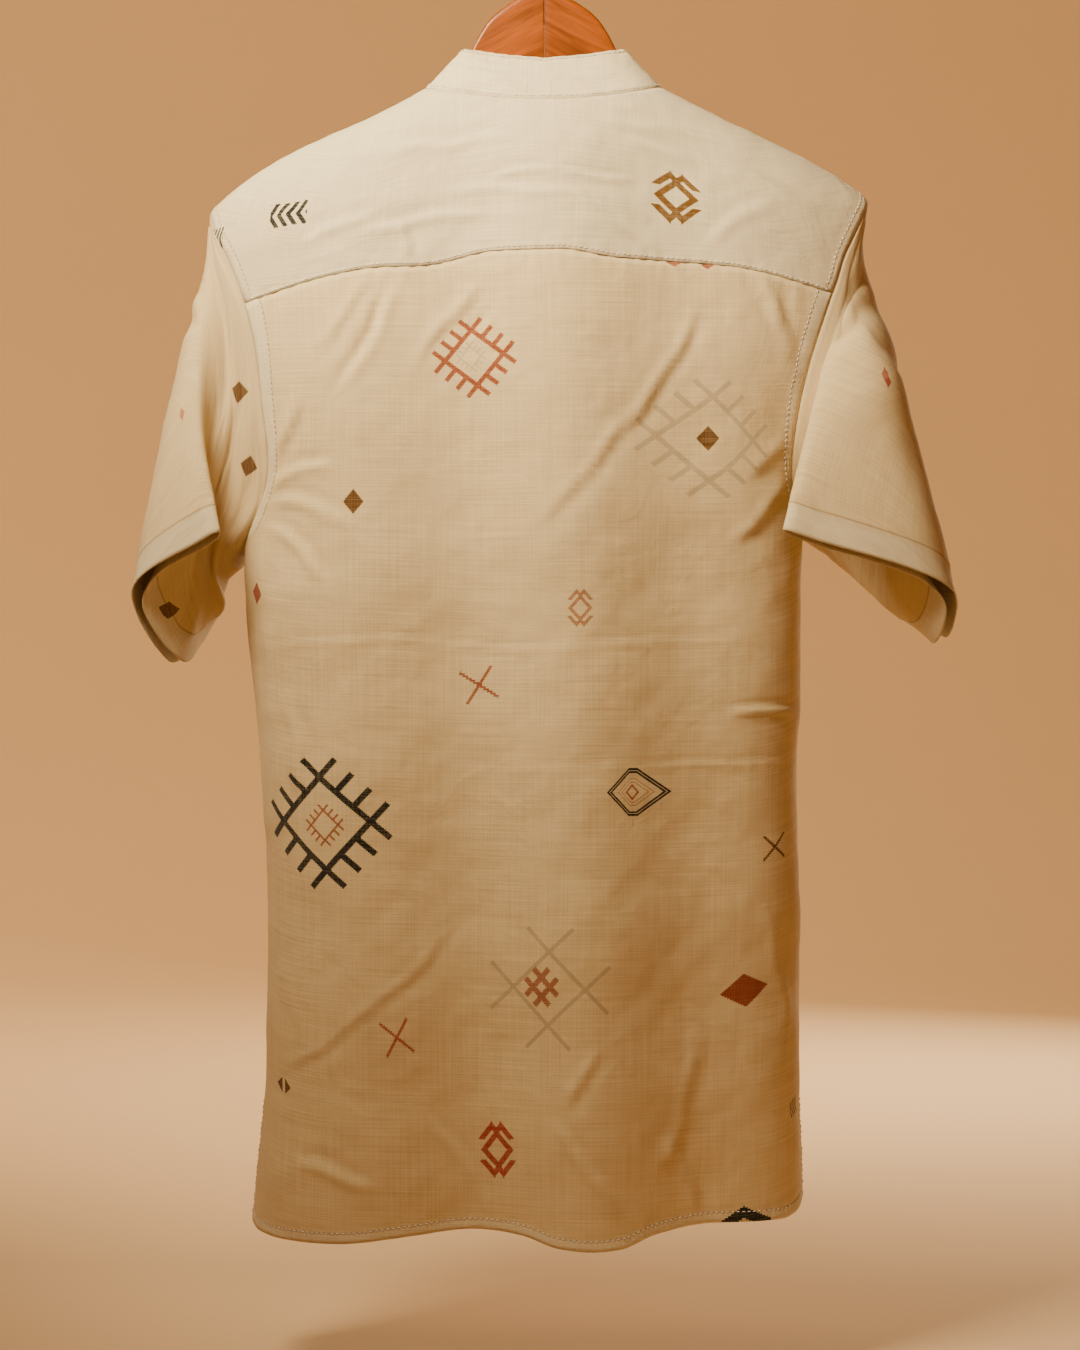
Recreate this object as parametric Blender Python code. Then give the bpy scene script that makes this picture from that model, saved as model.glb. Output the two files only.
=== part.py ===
"""A short sleeved kurta tunic hanging on a flat wooden hanger.

Metres, +Z up. The origin is the top of the inside of the hanger's hook. The garment's back faces -Y, its
buttoned front faces +Y, and the wearer's right side is at +X.

The tunic's body is one closed surface, body(angle, z): at each height a rounded section with its own left,
right, back and front reach, with soft lengthwise folds added. The panels are cut from that surface along the
seams, so neighbours share their edge points and the direction of their thickness.
"""

import math

import bmesh
import bpy
import numpy as np

# Driving dimensions.
CLOTH = 0.0015
BAND = 0.0020
SEAM_GAP = 0.0003
BACK, FRONT = -1, 1
LEFT, RIGHT = -1, 1

# Body sections: the reach to the left, right, back and front at each height, and how square the section is.
SECTION_COLUMNS = ("z", "left", "right", "back", "front", "power")
SECTIONS = (
    (-0.1200, -0.0640, 0.0630, 0.0275, 0.0160, 2.10),
    (-0.1300, -0.0830, 0.0825, 0.0315, 0.0210, 2.10),
    (-0.1411, -0.1030, 0.1040, 0.0352, 0.0265, 2.10),
    (-0.1516, -0.1246, 0.1250, 0.0385, 0.0320, 2.10),
    (-0.1621, -0.1484, 0.1477, 0.0412, 0.0375, 2.10),
    (-0.1831, -0.1908, 0.1900, 0.0452, 0.0475, 2.10),
    (-0.2041, -0.2200, 0.2220, 0.0485, 0.0535, 2.10),
    (-0.2180, -0.2335, 0.2350, 0.0507, 0.0565, 2.12),
    (-0.2440, -0.2465, 0.2423, 0.0535, 0.0590, 2.15),
    (-0.2640, -0.2472, 0.2428, 0.0555, 0.0610, 2.20),
    (-0.2847, -0.2447, 0.2383, 0.0570, 0.0625, 2.26),
    (-0.3512, -0.2246, 0.2066, 0.0620, 0.0655, 2.40),
    (-0.4128, -0.2075, 0.1850, 0.0660, 0.0680, 2.50),
    (-0.4505, -0.2096, 0.1804, 0.0680, 0.0695, 2.55),
    (-0.5016, -0.2072, 0.1792, 0.0715, 0.0700, 2.60),
    (-0.5576, -0.2016, 0.1790, 0.0745, 0.0700, 2.65),
    (-0.6000, -0.1974, 0.1765, 0.0765, 0.0700, 2.70),
    (-0.6626, -0.1939, 0.1772, 0.0785, 0.0700, 2.70),
    (-0.7326, -0.1925, 0.1785, 0.0795, 0.0700, 2.70),
    (-0.8026, -0.1932, 0.1780, 0.0800, 0.0700, 2.70),
    (-0.8446, -0.1960, 0.1785, 0.0800, 0.0700, 2.70),
    (-0.8796, -0.1995, 0.1799, 0.0800, 0.0700, 2.70),
    (-0.9400, -0.2050, 0.1802, 0.0800, 0.0700, 2.70),
)

# Lengthwise folds. Columns: x at the top and at the hem, half width, height at the top and at the hem.
BACK_FOLDS = (
    (-0.1500, -0.1450, 0.046, 0.0020, 0.0110),
    (-0.0620, -0.0480, 0.040, -0.0040, -0.0130),
    (0.0080, 0.0380, 0.044, 0.0035, 0.0150),
    (0.0900, 0.1120, 0.040, -0.0040, -0.0110),
)
FRONT_FOLDS = (
    (-0.1150, -0.1250, 0.045, 0.0030, 0.0120),
    (-0.0550, -0.0650, 0.034, -0.0030, -0.0090),
    (0.0600, 0.0500, 0.036, -0.0030, -0.0100),
    (0.1200, 0.1150, 0.042, 0.0030, 0.0120),
)
FOLD_TOP, FOLD_HEM = -0.150, -0.920

# Neck seam: half width, height on the shoulder, and how far it dips behind and in front.
NECK_HALF = 0.0825
NECK_Z = -0.1300
NECK_DIP_BACK, NECK_DIP_BACK_POWER = 0.0140, 1.7
NECK_DIP_FRONT, NECK_DIP_FRONT_POWER = 0.0620, 1.35
YOKE_NECK_CORNER = math.radians(58)

# Armholes: height of the shoulder point and of the armpit, depth behind and in front of the shoulder line.
ARMHOLE_TOP = {LEFT: -0.2180, RIGHT: -0.2069}
ARMHOLE_FOOT = {LEFT: -0.4505, RIGHT: -0.4442}
ARMHOLE_DEPTH = {BACK: 0.038, FRONT: 0.042}
ARMHOLE_POWER_TOP, ARMHOLE_POWER_FOOT = 2.1, 3.0
YOKE_CORNER = {(LEFT, BACK): -0.2839, (RIGHT, BACK): -0.2770, (LEFT, FRONT): -0.2450, (RIGHT, FRONT): -0.2390}
YOKE_STEPS = {BACK: 5, FRONT: 3}
PANEL_STEPS = {BACK: 8, FRONT: 10}

# Back yoke seam, and how far the front yoke seam lies below the shoulder line at the neck and at the armhole.
YOKE_SEAM_COLUMNS = ("x", "z")
YOKE_SEAM = (
    (-0.2060, -0.2839),
    (-0.1469, -0.2669),
    (-0.1092, -0.2612),
    (-0.0860, -0.2606),
    (-0.0314, -0.2504),
    (0.0108, -0.2499),
    (0.0490, -0.2555),
    (0.0852, -0.2572),
    (0.1304, -0.2606),
    (0.1983, -0.2770),
)
YOKE_FRONT_DROP_NECK = 0.0190

# Hems and side slits.
HEM_COLUMNS = ("x", "back", "front")
HEM = (
    (-0.2040, -0.9160, -0.9165),
    (-0.1950, -0.9215, -0.9210),
    (-0.1774, -0.9235, -0.9240),
    (-0.1400, -0.9228, -0.9262),
    (-0.0874, -0.9179, -0.9248),
    (-0.0471, -0.9146, -0.9225),
    (-0.0150, -0.9172, -0.9218),
    (0.0100, -0.9240, -0.9222),
    (0.0306, -0.9255, -0.9215),
    (0.0520, -0.9240, -0.9205),
    (0.0751, -0.9165, -0.9215),
    (0.1150, -0.9118, -0.9240),
    (0.1627, -0.9120, -0.9200),
    (0.1740, -0.9095, -0.9140),
    (0.1800, -0.9039, -0.9060),
)
HEM_CORNER = {LEFT: -0.9160, RIGHT: -0.9039}
SLIT_TOP = -0.8340
SLIT_SPREAD = {BACK: 0.0030, FRONT: 0.0040}
ROWS_BELOW = 20
COLUMNS_BACK = 26
COLUMNS_SIDE = 9

# Front slot and the half placket that closes it.
SLOT_HALF = 0.0150
SLOT_FOOT = -0.5250
FRONT_INNER_X = (-0.0740, -0.0540, -0.0340, -SLOT_HALF, SLOT_HALF, 0.0340, 0.0540, 0.0740)
PLACKET_HALF = 0.0170
PLACKET_FOOT = -0.5380
PLACKET_ROWS = 22
BUTTON_HEIGHTS = (-0.225, -0.305, -0.385, -0.465)
BUTTON_RADIUS = 0.0055
BUTTON_THICK = 0.0025

# Collar stand: its top edge by the angle from centre back, for the right half. The left half mirrors it.
COLLAR_COLUMNS = ("angle", "x", "y", "z")
COLLAR_TOP = (
    (0, 0.0000, -0.0140, -0.1105),
    (35, 0.0300, -0.0120, -0.1075),
    (65, 0.0495, -0.0080, -0.1040),
    (90, 0.0575, 0.0000, -0.1030),
    (115, 0.0570, 0.0210, -0.1130),
    (145, 0.0420, 0.0520, -0.1390),
    (180, 0.0000, 0.0680, -0.1590),
    (200, -0.0240, 0.0640, -0.1540),
)
COLLAR_LAP = math.radians(12)
COLLAR_LAP_SHIFT = 0.0014
COLLAR_LAP_START = math.radians(120)
COLLAR_LAP_STEPS = 2
COLLAR_ROWS = 4

# Sleeves: the middle path between the two layers at three places along the sleeve. It runs from the top
# crease, round the outer bend and the lower tip, to the underarm seam. The gap is half the opening there.
SLEEVE_COLUMNS = ("along", "half_gap", "wedge", "crease", "bend", "tip", "underarm")
SLEEVES = {
    LEFT: (
        (
            0.33, 0.0260, 0.090,
            (-0.2346, -0.0275, -0.2925), (-0.2345, -0.0100, -0.3650),
            (-0.2290, 0.0080, -0.4270), (-0.2200, 0.0140, -0.4680),
        ),
        (
            0.67, 0.0140, 0.060,
            (-0.2350, -0.0500, -0.3692), (-0.2590, -0.0280, -0.4300),
            (-0.2520, 0.0020, -0.4820), (-0.2305, 0.0280, -0.4850),
        ),
        (
            1.00, 0.0045, 0.008,
            (-0.2189, -0.0760, -0.4437), (-0.2790, -0.0440, -0.4870),
            (-0.2549, -0.0100, -0.5310), (-0.2407, 0.0400, -0.5008),
        ),
    ),
    RIGHT: (
        (
            0.33, 0.0190, 0.060,
            (0.2048, -0.0275, -0.2845), (0.2335, -0.0200, -0.4000),
            (0.2250, -0.0040, -0.4400), (0.2085, 0.0020, -0.4636),
        ),
        (
            0.67, 0.0130, 0.040,
            (0.1825, -0.0490, -0.3643), (0.2590, -0.0330, -0.4500),
            (0.2530, -0.0120, -0.4790), (0.2365, 0.0040, -0.4835),
        ),
        (
            1.00, 0.0045, 0.008,
            (0.1619, -0.0660, -0.4418), (0.2790, -0.0440, -0.4940),
            (0.2744, -0.0200, -0.5160), (0.2646, 0.0050, -0.5029),
        ),
    ),
}
WEDGE_POWER = 0.6
SLEEVE_SWELL = {LEFT: 0.0030, RIGHT: 0.0190}
SWELL_ALONG, SWELL_ROUND = 0.30, 0.85
SLEEVE_KEYS = {LEFT: (0.0, 0.40, 0.70, 1.0), RIGHT: (0.0, 0.67, 0.84, 1.0)}
SLEEVE_ROWS = 14
SLEEVE_START = 0.0005
SLEEVE_START_ARMPIT = 0.0042
ARMPIT_LIFT = 0.0014
ARMPIT_LIFT_END = 0.35
ARMPIT_TURN, ARMPIT_SPAN = math.radians(110), math.radians(55)

# Hanger: one half's top and bottom outline, its thickness and the bore for the hook's shank.
HANGER_COLUMNS = ("x", "top", "bottom")
HANGER = (
    (0.0000, -0.0620, -0.1450),
    (0.0120, -0.0641, -0.1452),
    (0.0217, -0.0692, -0.1457),
    (0.0301, -0.0748, -0.1463),
    (0.0378, -0.0817, -0.1472),
    (0.0450, -0.0924, -0.1484),
    (0.0532, -0.1072, -0.1498),
    (0.0680, -0.1208, -0.1533),
    (0.0790, -0.1332, -0.1567),
    (0.0920, -0.1405, -0.1610),
    (0.1060, -0.1478, -0.1665),
    (0.1250, -0.1572, -0.1745),
    (0.1484, -0.1678, -0.1835),
    (0.1715, -0.1784, -0.1940),
    (0.1905, -0.1892, -0.2040),
    (0.2060, -0.1998, -0.2130),
    (0.2140, -0.2075, -0.2165),
)
HANGER_HALF_THICK = 0.0060
HANGER_STATIONS = 36
HANGER_CROWDING = 1.35
HANGER_ROUND = 12
JOINT_HALF_GAP = 0.00015
WIRE_RADIUS = 0.0019
HOOK_INNER = 0.0180
SHANK_FOOT = -0.0850
SHANK_HEAD = -0.0540
BORE_DEPTH = 0.0004
BORE_LENGTH = 0.060

# Colours (linear), roughness and metallic.
COTTON = ((0.62, 0.52, 0.38), 0.90, 0.0)
WOOD = ((0.50, 0.20, 0.05), 0.35, 0.0)
STEEL = ((0.70, 0.70, 0.70), 0.30, 1.0)
SHELL = ((0.75, 0.68, 0.55), 0.30, 0.0)


def column(table, names, name):
    """One column of a table, as an array."""
    place = names.index(name)
    return np.array([row[place] for row in table], float)


def smooth(keys, values, x):
    """Cubic through a table's rows, with its slopes limited so that it never swings past them."""
    keys, values = np.asarray(keys, float), np.asarray(values, float)
    if keys[0] > keys[-1]:
        keys, values = keys[::-1], values[::-1]
    step = np.diff(keys)
    rise = np.diff(values) / step
    slope = np.concatenate([rise[:1], np.zeros(len(keys) - 2), rise[-1:]])
    before, after = rise[:-1], rise[1:]
    same = before * after > 0
    slope[1:-1][same] = 2 * before[same] * after[same] / (before[same] + after[same])
    x = np.clip(x, keys[0], keys[-1])
    i = np.clip(np.searchsorted(keys, x, side="right") - 1, 0, len(step) - 1)
    t = (x - keys[i]) / step[i]
    start = (1 + 2 * t) * (1 - t) ** 2 * values[i] + t * (1 - t) ** 2 * step[i] * slope[i]
    end = t**2 * (3 - 2 * t) * values[i + 1] - t**2 * (1 - t) * step[i] * slope[i + 1]
    return start + end


def through(keys, points, u):
    """Smooth curve through points: keys has a value for each, u the values wanted. Points may be arrays."""
    keys, points, u = np.asarray(keys, float), np.asarray(points, float), np.atleast_1d(u)
    slope = np.gradient(points, keys, axis=0)
    i = np.clip(np.searchsorted(keys, u, side="right") - 1, 0, len(keys) - 2)
    step = (keys[i + 1] - keys[i]).reshape((-1,) + (1,) * (points.ndim - 1))
    t = (u - keys[i]).reshape(step.shape) / step
    start = (1 + 2 * t) * (1 - t) ** 2 * points[i] + t * (1 - t) ** 2 * step * slope[i]
    end = t**2 * (3 - 2 * t) * points[i + 1] - t**2 * (1 - t) * step * slope[i + 1]
    return start + end


def unit(vectors):
    return vectors / np.maximum(np.linalg.norm(vectors, axis=-1, keepdims=True), 1e-12)


def ease(t):
    t = np.clip(t, 0, 1)
    return t * t * (3 - 2 * t)


def section(z, name):
    """A section's reach or power at height z."""
    return smooth(column(SECTIONS, SECTION_COLUMNS, "z"), column(SECTIONS, SECTION_COLUMNS, name), z)


def fold_height(x, z, folds):
    """How far the lengthwise folds push the cloth out at (x, z): one bell curve for each fold."""
    down = np.clip((FOLD_TOP - z) / (FOLD_TOP - FOLD_HEM), 0, 1.05)
    total = np.zeros(np.broadcast(x, z).shape)
    for x_top, x_hem, width, height_top, height_hem in folds:
        middle = x_top + (x_hem - x_top) * down
        height = height_top + (height_hem - height_top) * down
        total = total + height * np.exp(-(((x - middle) / width) ** 2))
    return total * ease((NECK_Z - z) / 0.06)


def body(angle, z):
    """Point of the tunic's body: angle 0 at the right side, a quarter turn in front, minus that behind."""
    angle, z = np.broadcast_arrays(np.asarray(angle, float), np.asarray(z, float))
    left, right, power = section(z, "left"), section(z, "right"), section(z, "power")
    cos, sin = np.cos(angle), np.sin(angle)
    x = (left + right) / 2 + (right - left) / 2 * np.sign(cos) * np.abs(cos) ** (2 / power)
    behind = section(z, "back") + fold_height(x, z, BACK_FOLDS)
    before = section(z, "front") + fold_height(x, z, FRONT_FOLDS)
    depth = np.where(sin < 0, behind, before) * np.abs(sin) ** (2 / power)
    return np.stack([x, np.sign(sin) * depth, z], axis=-1)


def body_out(angle, z):
    """Direction out of the body's surface, from its slopes along the section and up it."""
    step_angle, step_z = 0.004, 0.0005
    around = body(angle + step_angle, z) - body(angle - step_angle, z)
    up = body(angle, z + step_z) - body(angle, z - step_z)
    return unit(np.cross(around, up))


def angle_at(x, z, half):
    """Angle of the body's point at (x, z) on its back or front half."""
    left, right, power = section(z, "left"), section(z, "right"), section(z, "power")
    reach = np.clip((x - (left + right) / 2) / ((right - left) / 2), -1, 1)
    return half * np.arccos(np.sign(reach) * np.abs(reach) ** (power / 2))


def angle_of_depth(depth, z, side, half):
    """Angle of the point that lies this deep behind or in front of the side of the section."""
    reach = section(z, "back" if half == BACK else "front")
    turn = np.arcsin(np.clip(depth / reach, 0, 1) ** (section(z, "power") / 2))
    return half * (turn if side == RIGHT else math.pi - turn)


def shoulder_z(x):
    """Height of the shoulder line at x."""
    heights = column(SECTIONS, SECTION_COLUMNS, "z")[:8]
    left = smooth(-column(SECTIONS, SECTION_COLUMNS, "left")[:8], heights, -np.minimum(x, 0))
    right = smooth(column(SECTIONS, SECTION_COLUMNS, "right")[:8], heights, np.maximum(x, 0))
    return np.where(x < 0, left, right)


def armhole_turns(side, half):
    """Turns round the armhole from the shoulder point (0) to the armpit (pi), by way of the yoke's corner."""
    middle, reach = armhole_middle(side)
    corner = math.acos(((YOKE_CORNER[side, half] - middle) / reach) ** (ARMHOLE_POWER_TOP / 2))
    on_yoke = np.linspace(0, corner, YOKE_STEPS[half] + 1)
    on_panel = np.linspace(corner, math.pi, PANEL_STEPS[half] + 1)
    return np.concatenate([on_yoke, on_panel[1:]])


def armhole_middle(side):
    top, foot = ARMHOLE_TOP[side], ARMHOLE_FOOT[side]
    return (top + foot) / 2, (top - foot) / 2


def armhole(side, half, turns):
    """Body angles and heights along one half of an armhole's seam."""
    middle, reach = armhole_middle(side)
    cos, sin = np.cos(turns), np.sin(turns)
    power = np.where(cos > 0, ARMHOLE_POWER_TOP, ARMHOLE_POWER_FOOT)
    z = middle + reach * np.sign(cos) * np.abs(cos) ** (2 / power)
    depth = ARMHOLE_DEPTH[half] * np.abs(sin) ** (2 / power)
    return angle_of_depth(np.maximum(depth, SEAM_GAP / 2), z, side, half), z


def neck(angle):
    """(x, z, half) of the neck seam by the angle from centre back, plus to the right, minus to the left."""
    cos = np.cos(angle)
    dip = np.where(
        cos > 0,
        NECK_DIP_BACK * np.abs(cos) ** NECK_DIP_BACK_POWER,
        NECK_DIP_FRONT * np.abs(cos) ** NECK_DIP_FRONT_POWER,
    )
    x = NECK_HALF * np.sin(angle)
    return x, NECK_Z - dip, np.where(cos > 0, BACK, FRONT)


def neck_point(angle):
    """Point and outward direction on the neck seam."""
    x, z, half = neck(angle)
    turn = angle_at(x, z, half)
    return body(turn, z), body_out(turn, z)


def grid_triangles(points, wrap=False, keep=None):
    """Two triangles for each kept cell of a grid of points, split along its shorter diagonal."""
    rows, columns = points.shape[:2]
    across = columns if wrap else columns - 1
    i, j = np.meshgrid(np.arange(rows - 1), np.arange(across), indexing="ij")
    if keep is not None:
        i, j = i[keep], j[keep]
    i, j = i.ravel(), j.ravel()
    after = (j + 1) % columns
    a, b, c, d = i * columns + j, (i + 1) * columns + j, (i + 1) * columns + after, i * columns + after
    flat = points.reshape(-1, 3)
    short = np.linalg.norm(flat[a] - flat[c], axis=1) <= np.linalg.norm(flat[b] - flat[d], axis=1)
    first = np.where(short[:, None], np.stack([a, b, c], 1), np.stack([a, b, d], 1))
    second = np.where(short[:, None], np.stack([a, c, d], 1), np.stack([b, c, d], 1))
    return np.concatenate([first, second])


def material_of(name, finish):
    colour, roughness, metallic = finish
    material = bpy.data.materials.new(name)
    material.use_nodes = True
    shader = material.node_tree.nodes["Principled BSDF"]
    shader.inputs["Base Color"].default_value = (*colour, 1)
    shader.inputs["Roughness"].default_value = roughness
    shader.inputs["Metallic"].default_value = metallic
    return material


def add_mesh(name, vertices, faces, finish):
    """A closed mesh as an object of its own, its faces turned outwards and shaded smooth."""
    mesh = bpy.data.meshes.new(name)
    mesh.from_pydata([tuple(v) for v in vertices], [], [tuple(f) for f in faces])
    tidy = bmesh.new()
    tidy.from_mesh(mesh)
    bmesh.ops.recalc_face_normals(tidy, faces=tidy.faces)
    tidy.to_mesh(mesh)
    tidy.free()
    mesh.materials.append(material_of(name, finish))
    mesh.shade_smooth()
    thing = bpy.data.objects.new(name, mesh)
    bpy.data.collections["Kurta tunic"].objects.link(thing)
    return thing


def add_wall(name, outer, inner, finish=COTTON, wrap=False, keep=None):
    """A wall between two grids of points, closed along every open edge."""
    triangles = grid_triangles(outer, wrap, keep)
    directed = {(a, b) for face in triangles.tolist() for a, b in zip(face, face[1:] + face[:1])}
    rim = np.array([(a, b) for a, b in sorted(directed) if (b, a) not in directed])
    count = outer.shape[0] * outer.shape[1]
    a, b = rim[:, 0], rim[:, 1]
    faces = np.concatenate(
        [
            triangles,
            triangles[:, ::-1] + count,
            np.stack([b, a, a + count], 1),
            np.stack([b, a + count, b + count], 1),
        ]
    )
    used, faces = np.unique(faces, return_inverse=True)
    vertices = np.concatenate([outer.reshape(-1, 3), inner.reshape(-1, 3)])[used]
    return add_mesh(name, vertices, faces.reshape(-1, 3), finish)


def body_wall(name, angle, z, lift=0.0, thick=CLOTH, keep=None):
    """A piece of the body's surface, as a wall whose outer face stands lift above that surface."""
    points, out = body(angle, z), body_out(angle, z)
    return add_wall(name, points + out * lift, points + out * (lift - thick), keep=keep)


def spread(angle_a, angle_b, z_a, z_b, count):
    """Angles of evenly spaced points along a section between two angles, with height changing evenly."""
    share = np.linspace(0, 1, 160)
    angle = angle_a + (angle_b - angle_a) * share
    points = body(angle, z_a + (z_b - z_a) * share)
    length = np.concatenate([[0], np.cumsum(np.linalg.norm(np.diff(points, axis=0), axis=1))])
    return np.interp(np.linspace(0, length[-1], count), length, angle)


def side_edge(side, half):
    """(angle, edge height, even height) down a panel's edge: the armhole, then the side seam and the slit."""
    turns = armhole_turns(side, half)[YOKE_STEPS[half]:]
    angle, z = armhole(side, half, turns)
    top, foot, hem = z[0] - SEAM_GAP, z[-1], HEM_CORNER[side]
    z[0] = top
    even = np.linspace(top, foot, len(z))
    below = np.linspace(foot, hem, ROWS_BELOW + 1)[1:]
    open_share = np.clip((SLIT_TOP - below) / (SLIT_TOP - hem), 0, 1)
    depth = SEAM_GAP / 2 + SLIT_SPREAD[half] * open_share
    seam = angle_of_depth(depth, below, side, half)
    return np.concatenate([angle, seam]), np.concatenate([z, below]), np.concatenate([even, below])


def panel_rows(half, top_z, hem_name, columns):
    """Angles and heights of a panel's grid. columns(angle_left, angle_right, z_left, z_right) sets a row."""
    left_angle, left_z, left_even = side_edge(LEFT, half)
    right_angle, right_z, right_even = side_edge(RIGHT, half)
    hem_x, hem_z = column(HEM, HEM_COLUMNS, "x"), column(HEM, HEM_COLUMNS, hem_name)
    rows = len(left_z)
    angles, heights = [], []
    for row in range(rows):
        angle, share = columns(left_angle[row], right_angle[row], left_z[row], right_z[row])
        near = ease(1 - share / 0.22), ease(1 - (1 - share) / 0.22)
        even = left_even[row] + (right_even[row] - left_even[row]) * share
        level = even + near[0] * (left_z[row] - left_even[row]) + near[1] * (right_z[row] - right_even[row])
        x = body(angle, level)[..., 0]
        down = row / (rows - 1)
        top_gap = top_z(x) - (left_z[0] + (right_z[0] - left_z[0]) * share)
        hem_gap = smooth(hem_x, hem_z, x) - (left_z[-1] + (right_z[-1] - left_z[-1]) * share)
        inside = ease(np.minimum(share, 1 - share) / 0.02)
        z = level + inside * (top_gap * ease(1 - down / 0.42) + hem_gap * ease((down - 0.45) / 0.55))
        keep_x = ease(1 - down / 0.30)
        angles.append(angle * (1 - keep_x) + angle_at(x, z, half) * keep_x)
        heights.append(z)
    return np.array(angles), np.array(heights)


def back_grid():
    """Back panel's grid: from the yoke seam, between the armholes and side seams, to the hem."""
    seam_x, seam_z = column(YOKE_SEAM, YOKE_SEAM_COLUMNS, "x"), column(YOKE_SEAM, YOKE_SEAM_COLUMNS, "z")

    def columns(angle_left, angle_right, z_left, z_right):
        share = np.linspace(0, 1, COLUMNS_BACK + 1)
        return spread(angle_left, angle_right, z_left, z_right, COLUMNS_BACK + 1), share

    return panel_rows(BACK, lambda x: smooth(seam_x, seam_z, x) - SEAM_GAP, "back", columns)


def front_yoke_z(x):
    """Height of the front yoke seam at x, from its corner at the armhole to the neck."""
    drop_armhole = shoulder_z(np.array([-0.2220]))[0] - YOKE_CORNER[LEFT, FRONT]
    share = np.clip((np.abs(x) - 0.0740) / (0.2220 - 0.0740), 0, 1)
    return shoulder_z(x) - YOKE_FRONT_DROP_NECK - (drop_armhole - YOKE_FRONT_DROP_NECK) * share


def front_top_z(x):
    """Top edge of the front panel: the neck curve between the yoke seams."""
    turn = math.pi - np.arcsin(np.clip(np.abs(x) / NECK_HALF, 0, 1))
    neck_z = NECK_Z - NECK_DIP_FRONT * np.abs(np.cos(turn)) ** NECK_DIP_FRONT_POWER
    return np.minimum(neck_z, front_yoke_z(x)) - SEAM_GAP


def front_grid():
    """Front panel's grid, under the front yoke seams and the neck curve."""

    def columns(angle_left, angle_right, z_left, z_right):
        inner = angle_at(np.array(FRONT_INNER_X), (z_left + z_right) / 2, FRONT)
        from_left = spread(angle_left, inner[0], z_left, (z_left + z_right) / 2, COLUMNS_SIDE + 1)
        to_right = spread(inner[-1], angle_right, (z_left + z_right) / 2, z_right, COLUMNS_SIDE + 1)
        angle = np.concatenate([from_left[:-1], inner, to_right[1:]])
        x = body(angle, (z_left + z_right) / 2)[..., 0]
        return angle, (x - x[0]) / (x[-1] - x[0])

    return panel_rows(FRONT, front_top_z, "front", columns)


def build_front(angle, z):
    """Front panel, with the placket's slot cut in it."""
    middle_x = body(angle, z)[..., 0]
    slot = (middle_x[:-1, :-1] + middle_x[:-1, 1:]) / 2
    low = (z[1:, :-1] + z[1:, 1:]) / 2
    keep = ~((np.abs(slot) < SLOT_HALF * 0.5) & (low > SLOT_FOOT))
    return body_wall("front_panel", angle, z, keep=keep)


def yoke_turns():
    """Turns round the neck of the yoke's lines on one side, from its front seam to its corner behind."""
    front = math.pi - math.acos((YOKE_FRONT_DROP_NECK / NECK_DIP_FRONT) ** (1 / NECK_DIP_FRONT_POWER))
    return np.concatenate(
        [
            np.linspace(front, math.pi / 2, YOKE_STEPS[FRONT] + 1),
            np.linspace(math.pi / 2, YOKE_NECK_CORNER, YOKE_STEPS[BACK] + 1)[1:],
        ]
    )


def neck_turns():
    """Turns round the neck where the yoke's lines and the front panel's columns meet the neck seam."""
    behind = np.linspace(-YOKE_NECK_CORNER, YOKE_NECK_CORNER, COLUMNS_BACK + 1)[1:-1]
    before = math.pi - np.arcsin(np.array(FRONT_INNER_X[5:7]) / NECK_HALF)
    half = np.concatenate([before, yoke_turns()])
    return np.concatenate([-half, behind, half[::-1]])


def build_yoke(back, front):
    """Yoke: fans out from the neck seam to the armholes, the back yoke seam and the two front yoke seams.

    Along each line across it, x changes evenly and so does the drop below the shoulder line.
    """
    turns, ends = [], []
    for side in (LEFT, RIGHT):
        before, behind = (
            armhole(side, half, armhole_turns(side, half)[: YOKE_STEPS[half] + 1]) for half in (FRONT, BACK)
        )
        line = [np.concatenate([f[::-1], b[1:]]) for f, b in zip(before, behind)]
        order = slice(None, None, -side)
        turns.append(side * yoke_turns()[order])
        ends.append(np.array([part[order] for part in line]))
    seam = np.array([back[0][0], back[1][0] + SEAM_GAP])[:, 1:-1]
    outer_angle, outer_z = np.concatenate([ends[0], seam, ends[1]], axis=1)
    behind = np.linspace(-YOKE_NECK_CORNER, YOKE_NECK_CORNER, COLUMNS_BACK + 1)[1:-1]
    turns = np.concatenate([turns[0], behind, turns[1]])
    outer_x = body(outer_angle, outer_z)[..., 0]
    neck_x, neck_z, _ = neck(turns)
    front_x, front_z = body(*front)[0][:, 0], front[1][0] + SEAM_GAP
    side_x = {LEFT: front_x[COLUMNS_SIDE::-1], RIGHT: front_x[-COLUMNS_SIDE - 1 :]}
    side_z = {LEFT: front_z[COLUMNS_SIDE::-1], RIGHT: front_z[-COLUMNS_SIDE - 1 :]}
    shares = [(x - x[0]) / (x[-1] - x[0]) for x in (side_x[LEFT], side_x[RIGHT])]
    blend = (turns - turns[0]) / (turns[-1] - turns[0])
    share = shares[0][:, None] * (1 - blend) + shares[1][:, None] * blend
    x = neck_x + (outer_x - neck_x) * share
    neck_drop, outer_drop = shoulder_z(neck_x) - neck_z, shoulder_z(outer_x) - outer_z
    z = shoulder_z(x) - (neck_drop + (outer_drop - neck_drop) * share)
    x[:, 0], z[:, 0], x[:, -1], z[:, -1] = side_x[LEFT], side_z[LEFT], side_x[RIGHT], side_z[RIGHT]
    half = np.where(np.abs(turns) > math.pi / 2 + 1e-6, FRONT, BACK)
    angle = angle_at(x, z, half)
    on_shoulder = np.abs(np.abs(turns) - math.pi / 2) < 1e-6
    angle = np.where(on_shoulder, np.where(x < 0, -math.pi, 0.0), angle)
    angle[-1, 1:-1], z[-1, 1:-1] = outer_angle[1:-1], outer_z[1:-1]
    return body_wall("yoke", angle, z)


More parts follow.
